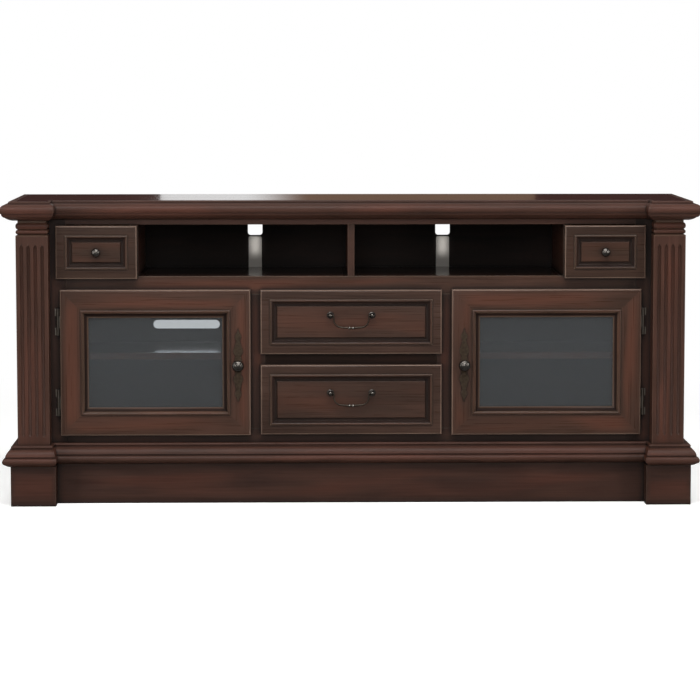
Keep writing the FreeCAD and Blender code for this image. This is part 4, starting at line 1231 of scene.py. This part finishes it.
@dataclass
class CentreDrawer(Drawer):
    """A centre drawer with two posts and a bail."""

    post_foot: float = 9 * MM
    post_head: float = 5.5 * MM
    pivot: float = 14 * MM

    def build(self) -> None:
        """Dress the drawer, turn its posts and bend its bail."""
        super().build()
        node = f"{self.body}_posts"
        low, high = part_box(node)
        level = (low.z + high.z) / 2
        handle = Bail()
        spots = [Vector((side.value * handle.post_spacing / 2, high.y, level)) for side in Side]
        posts = turned(self.post_profile(), *spots)
        add_piece(f"dressed_{node}", posts, BRONZE, self.body, [node])
        axis = Vector((0, high.y - self.pivot, level))
        handle.build(f"{self.body}_bail", self.body.replace("drawer", "bail"), axis)

    def post_profile(self) -> list[tuple[float, float]]:
        """Profile of a post: stepped foot, waist, and a round head at the bail's axis.

        Returns:
            Radius and height above the drawer's front.
        """
        head, pivot = self.post_head, self.pivot
        lower = [(u * self.post_foot, v * pivot) for u, v in POST]
        turns = [math.radians(angle) for angle in range(-48, 84, 12)]
        upper = [(head * math.cos(turn), pivot + head * math.sin(turn)) for turn in turns]
        return lower + upper + [(0, pivot + head)]


# Studio
def add_sheet(name: str, corners: Sequence[Place], material: bpy.types.Material) -> bpy.types.Object:
    """Put a flat sheet with four corners into the scene.

    Args:
        name: Name of the sheet.
        corners: Its corners in order.
        material: What it looks like.

    Returns:
        The new object.
    """
    mesh = bpy.data.meshes.new(name)
    mesh.from_pydata(corners, [], [(0, 1, 2, 3)])
    mesh.materials.append(material)
    return add_object(name, mesh)


@dataclass(frozen=True)
class Card:
    """A card behind the cabinet that only polished surfaces show, with a glow from left to right."""

    name: str
    reach: Span
    levels: Span
    at: float
    left: str
    right: str
    glow: float

    def material(self) -> bpy.types.Material:
        """Build the card's glow, which changes along X.

        Returns:
            The card's material.
        """
        made, tree = new_material(self.name)
        where = add_node(tree, "ShaderNodeTexCoord").outputs["Object"]
        along = add_node(tree, "ShaderNodeSeparateXYZ", {0: where}).outputs["X"]
        share = add_node(tree, "ShaderNodeMapRange", {
            "Value": along, "From Min": self.reach[0], "From Max": self.reach[1]},
            interpolation_type="SMOOTHSTEP")
        colour = add_node(tree, "ShaderNodeMix", {
            "Factor": share, "A": linear(self.left), "B": linear(self.right)}, data_type="RGBA")
        finish_material(tree, add_node(tree, "ShaderNodeEmission", {
            "Color": colour, "Strength": self.glow}))
        return made

    def build(self) -> None:
        """Stand the card on the stage."""
        (start, end), (low, high) = self.reach, self.levels
        outline = [(start, low), (end, low), (end, high), (start, high)]
        card = add_sheet(self.name, [(x, self.at, z) for x, z in outline], self.material())
        card.visible_camera = False
        card.visible_diffuse = False
        card.visible_transmission = False
        card.visible_shadow = False


@dataclass(frozen=True)
class Lamp:
    """A lamp with a soft face: place and target in metres, size in metres, power in watts."""

    name: str
    place: Place
    size: Span
    power: float
    target: Place = (0, 0, 0.4)
    spread: float = math.pi

    def build(self) -> None:
        """Hang the lamp and turn it to its target."""
        data = bpy.data.lights.new(self.name, "AREA")
        data.shape = "RECTANGLE"
        data.size, data.size_y = self.size
        data.energy = self.power
        data.spread = self.spread
        lamp = add_object(self.name, data)
        lamp.location = self.place
        aim = Vector(self.target) - Vector(self.place)
        lamp.rotation_euler = aim.to_track_quat("-Z", "Y").to_euler()
        lamp.visible_camera = False


LAMPS = (
    Lamp("left strip box", (-3.4, -2.8, 1.4), (0.6, 2.4), 48),
    Lamp("right strip box", (3.4, -2.8, 1.4), (0.6, 2.4), 48),
    Lamp("overhead soft box", (0.0, -2.4, 3.6), (3.4, 1.2), 140),
    Lamp("front fill", (-0.5, -6.6, 1.9), (2.0, 1.4), 45),
)


@dataclass
class Studio:
    """Pale floor, white surroundings, soft lamps and the camera."""

    camera_at: Place = (-0.127, -8.091, 1.151)
    camera_yaw: float = -0.02235
    camera_pitch: float = 0.10116
    lens: float = 155.4
    sensor: float = 36.0
    shift: Span = (-0.029, 0.0323)
    ambient: float = 0.4
    mirrored: float = 0.18
    world_sweep: Span = (-0.1, 0.3)
    floor_sweep: Span = (0.4, 1.6)
    floor_half: float = 30.0
    floor_lift: float = 0.45
    fade: Span = (1.4, 3.2)
    cards_at: float = 2.4
    card_levels: Span = (0.3, 2.4)
    card_stations: tuple[float, ...] = (-4.6, -0.62, -0.34, -0.1, 0.68, 4.6)
    card_glow: float = 1.05
    snoot_level: float = 0.662
    snoot_away: float = 1.8
    snoot_rise: float = 0.1
    snoot_size: Span = (0.02, 0.05)
    snoot_power: float = 0.003
    snoot_spread: float = math.radians(1.4)

    def build(self) -> None:
        """Set up the camera, the world, the floor, the lamps and the cards."""
        bpy.context.scene.view_settings.view_transform = "Standard"
        self.build_camera()
        self.build_world()
        self.build_floor()
        for lamp in LAMPS:
            lamp.build()
        self.build_snoots()
        self.build_cards()

    def build_snoots(self) -> None:
        """Light each pale sheet under the cut-outs with a narrow beam from the front."""
        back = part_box("back_panel")[0].y
        for side in Side:
            x = side.value * Carcass.cover_place
            place = (x, back - self.snoot_away, self.snoot_level + self.snoot_rise)
            Lamp(f"{side.word} snoot", place, self.snoot_size, self.snoot_power,
                 (x, back, self.snoot_level), self.snoot_spread).build()

    def build_cards(self) -> None:
        """Dark cards for the ends of the top, and lit ones for its sheen and for the vent slot."""
        dark, white, brown, cool = "#3A2727", "#FFFFFF", "#796252", "#F4F7FF"
        tones = ((dark, dark), (white, white), (white, brown), (brown, brown), (dark, dark))
        reaches = zip(self.card_stations, self.card_stations[1:])
        for index, (reach, (left, right)) in enumerate(zip(reaches, tones)):
            Card(f"card behind {index + 1}", reach, self.card_levels, self.cards_at, left, right,
                 self.card_glow).build()
        Card("card behind the vent slot", reach=(-0.8, -0.3), levels=(0.48, 0.76),
             at=self.cards_at - 0.05, left=cool, right=cool, glow=5.0).build()

    def build_camera(self) -> None:
        """Place the camera as the photograph's was."""
        data = bpy.data.cameras.new("camera")
        data.lens = self.lens
        data.sensor_width = self.sensor
        data.shift_x, data.shift_y = self.shift
        camera = add_object("camera", data)
        camera.location = self.camera_at
        camera.rotation_euler = (math.pi / 2 - self.camera_pitch, 0, self.camera_yaw)
        bpy.context.scene.camera = camera

    def mirrored_share(self, tree: bpy.types.NodeTree, across: bpy.types.NodeSocket,
                       sweep: Span) -> bpy.types.Node:
        """Brightness that polished surfaces mirror: dim in front of the cabinet, white behind it.

        Args:
            tree: Shader tree.
            across: Place or direction, of which Y counts.
            sweep: Y where the white starts and where it is full.

        Returns:
            The node with the brightness.
        """
        parts = add_node(tree, "ShaderNodeSeparateXYZ", {0: across})
        behind = add_node(tree, "ShaderNodeMapRange", {
            "Value": parts.outputs["Y"], "From Min": sweep[0], "From Max": sweep[1]},
            interpolation_type="SMOOTHSTEP")
        return add_node(tree, "ShaderNodeMapRange", {
            "Value": behind, "To Min": self.mirrored, "To Max": 1.0})

    def build_world(self) -> None:
        """White to look at and to mirror behind the cabinet, dimmer in front of it, as in a studio."""
        world = bpy.data.worlds.new("white room")
        bpy.context.scene.world = world
        world.use_nodes = True
        tree = world.node_tree
        tree.nodes.clear()
        path = add_node(tree, "ShaderNodeLightPath").outputs
        way = add_node(tree, "ShaderNodeTexCoord").outputs["Generated"]
        given = add_node(tree, "ShaderNodeMix", {
            "Factor": path["Is Glossy Ray"], "A": self.ambient,
            "B": self.mirrored_share(tree, way, self.world_sweep)}, data_type="FLOAT")
        seen = add_node(tree, "ShaderNodeMath", {
            0: path["Is Camera Ray"], 1: path["Is Transmission Ray"]}, operation="MAXIMUM")
        strength = add_node(tree, "ShaderNodeMix", {
            "Factor": seen, "A": given, "B": 1.0}, data_type="FLOAT")
        back = add_node(tree, "ShaderNodeBackground", {
            "Color": linear("#FFFFFF"), "Strength": strength})
        add_node(tree, "ShaderNodeOutputWorld", {"Surface": back})

    def floor_material(self) -> bpy.types.Material:
        """Pale paper near the cabinet, which turns white far away and in mirrors.

        Returns:
            The floor's material.
        """
        made, tree = new_material("white paper sweep")
        path = add_node(tree, "ShaderNodeLightPath").outputs
        where = add_node(tree, "ShaderNodeTexCoord").outputs["Object"]
        away = add_node(tree, "ShaderNodeVectorMath", {0: where}, operation="LENGTH")
        fade = add_node(tree, "ShaderNodeMapRange", {
            "Value": away.outputs["Value"], "From Min": self.fade[0], "From Max": self.fade[1]},
            interpolation_type="SMOOTHSTEP")
        paper = add_node(tree, "ShaderNodeBsdfDiffuse", {"Color": linear("#E4E4E2")})
        lift = add_node(tree, "ShaderNodeMath", {
            0: path["Is Camera Ray"], 1: self.floor_lift}, operation="MULTIPLY")
        glow = add_node(tree, "ShaderNodeEmission", {"Color": linear("#FFFFFF"), "Strength": lift})
        near = add_node(tree, "ShaderNodeAddShader", {0: paper, 1: glow})
        seen = add_node(tree, "ShaderNodeMath", {
            0: path["Is Camera Ray"], 1: path["Is Transmission Ray"]}, operation="MAXIMUM")
        far = add_node(tree, "ShaderNodeMath", {0: seen, 1: fade}, operation="MULTIPLY")
        shown = add_node(tree, "ShaderNodeMath", {
            0: far, 1: path["Is Glossy Ray"]}, operation="MAXIMUM")
        strength = add_node(tree, "ShaderNodeMix", {
            "Factor": path["Is Glossy Ray"], "A": 1.0,
            "B": self.mirrored_share(tree, where, self.floor_sweep)}, data_type="FLOAT")
        white = add_node(tree, "ShaderNodeEmission", {"Color": linear("#FFFFFF"), "Strength": strength})
        finish_material(tree, add_node(tree, "ShaderNodeMixShader", {0: shown, 1: near, 2: white}))
        return made

    def build_floor(self) -> None:
        """Lay a pale floor that keeps the shadow."""
        half = self.floor_half
        corners = [(-half, -half, 0), (half, -half, 0), (half, half, 0), (-half, half, 0)]
        floor = add_sheet("floor", corners, self.floor_material())


# Seeds of the grain, one for each door and drawer.
DOOR_SEEDS = {Side.LEFT: 101, Side.RIGHT: 137}
CENTRE_SEEDS = {"upper": 211, "lower": 228}
SMALL_SEEDS = {Side.LEFT: 307, Side.RIGHT: 324}


def main() -> None:
    """Build the console, its stage and its lights."""
    logging.basicConfig(level=logging.INFO, format="%(message)s")
    Carcass().build()
    FaceFrame().build()
    for side, seed in DOOR_SEEDS.items():
        Door(side, seed).build()
    for word, seed in CENTRE_SEEDS.items():
        CentreDrawer(f"{word}_drawer", seed).build()
    for side, seed in SMALL_SEEDS.items():
        SmallDrawer(f"{side.word}_small_drawer", seed).build()
    Studio().build()


if __name__ == "__main__":
    main()
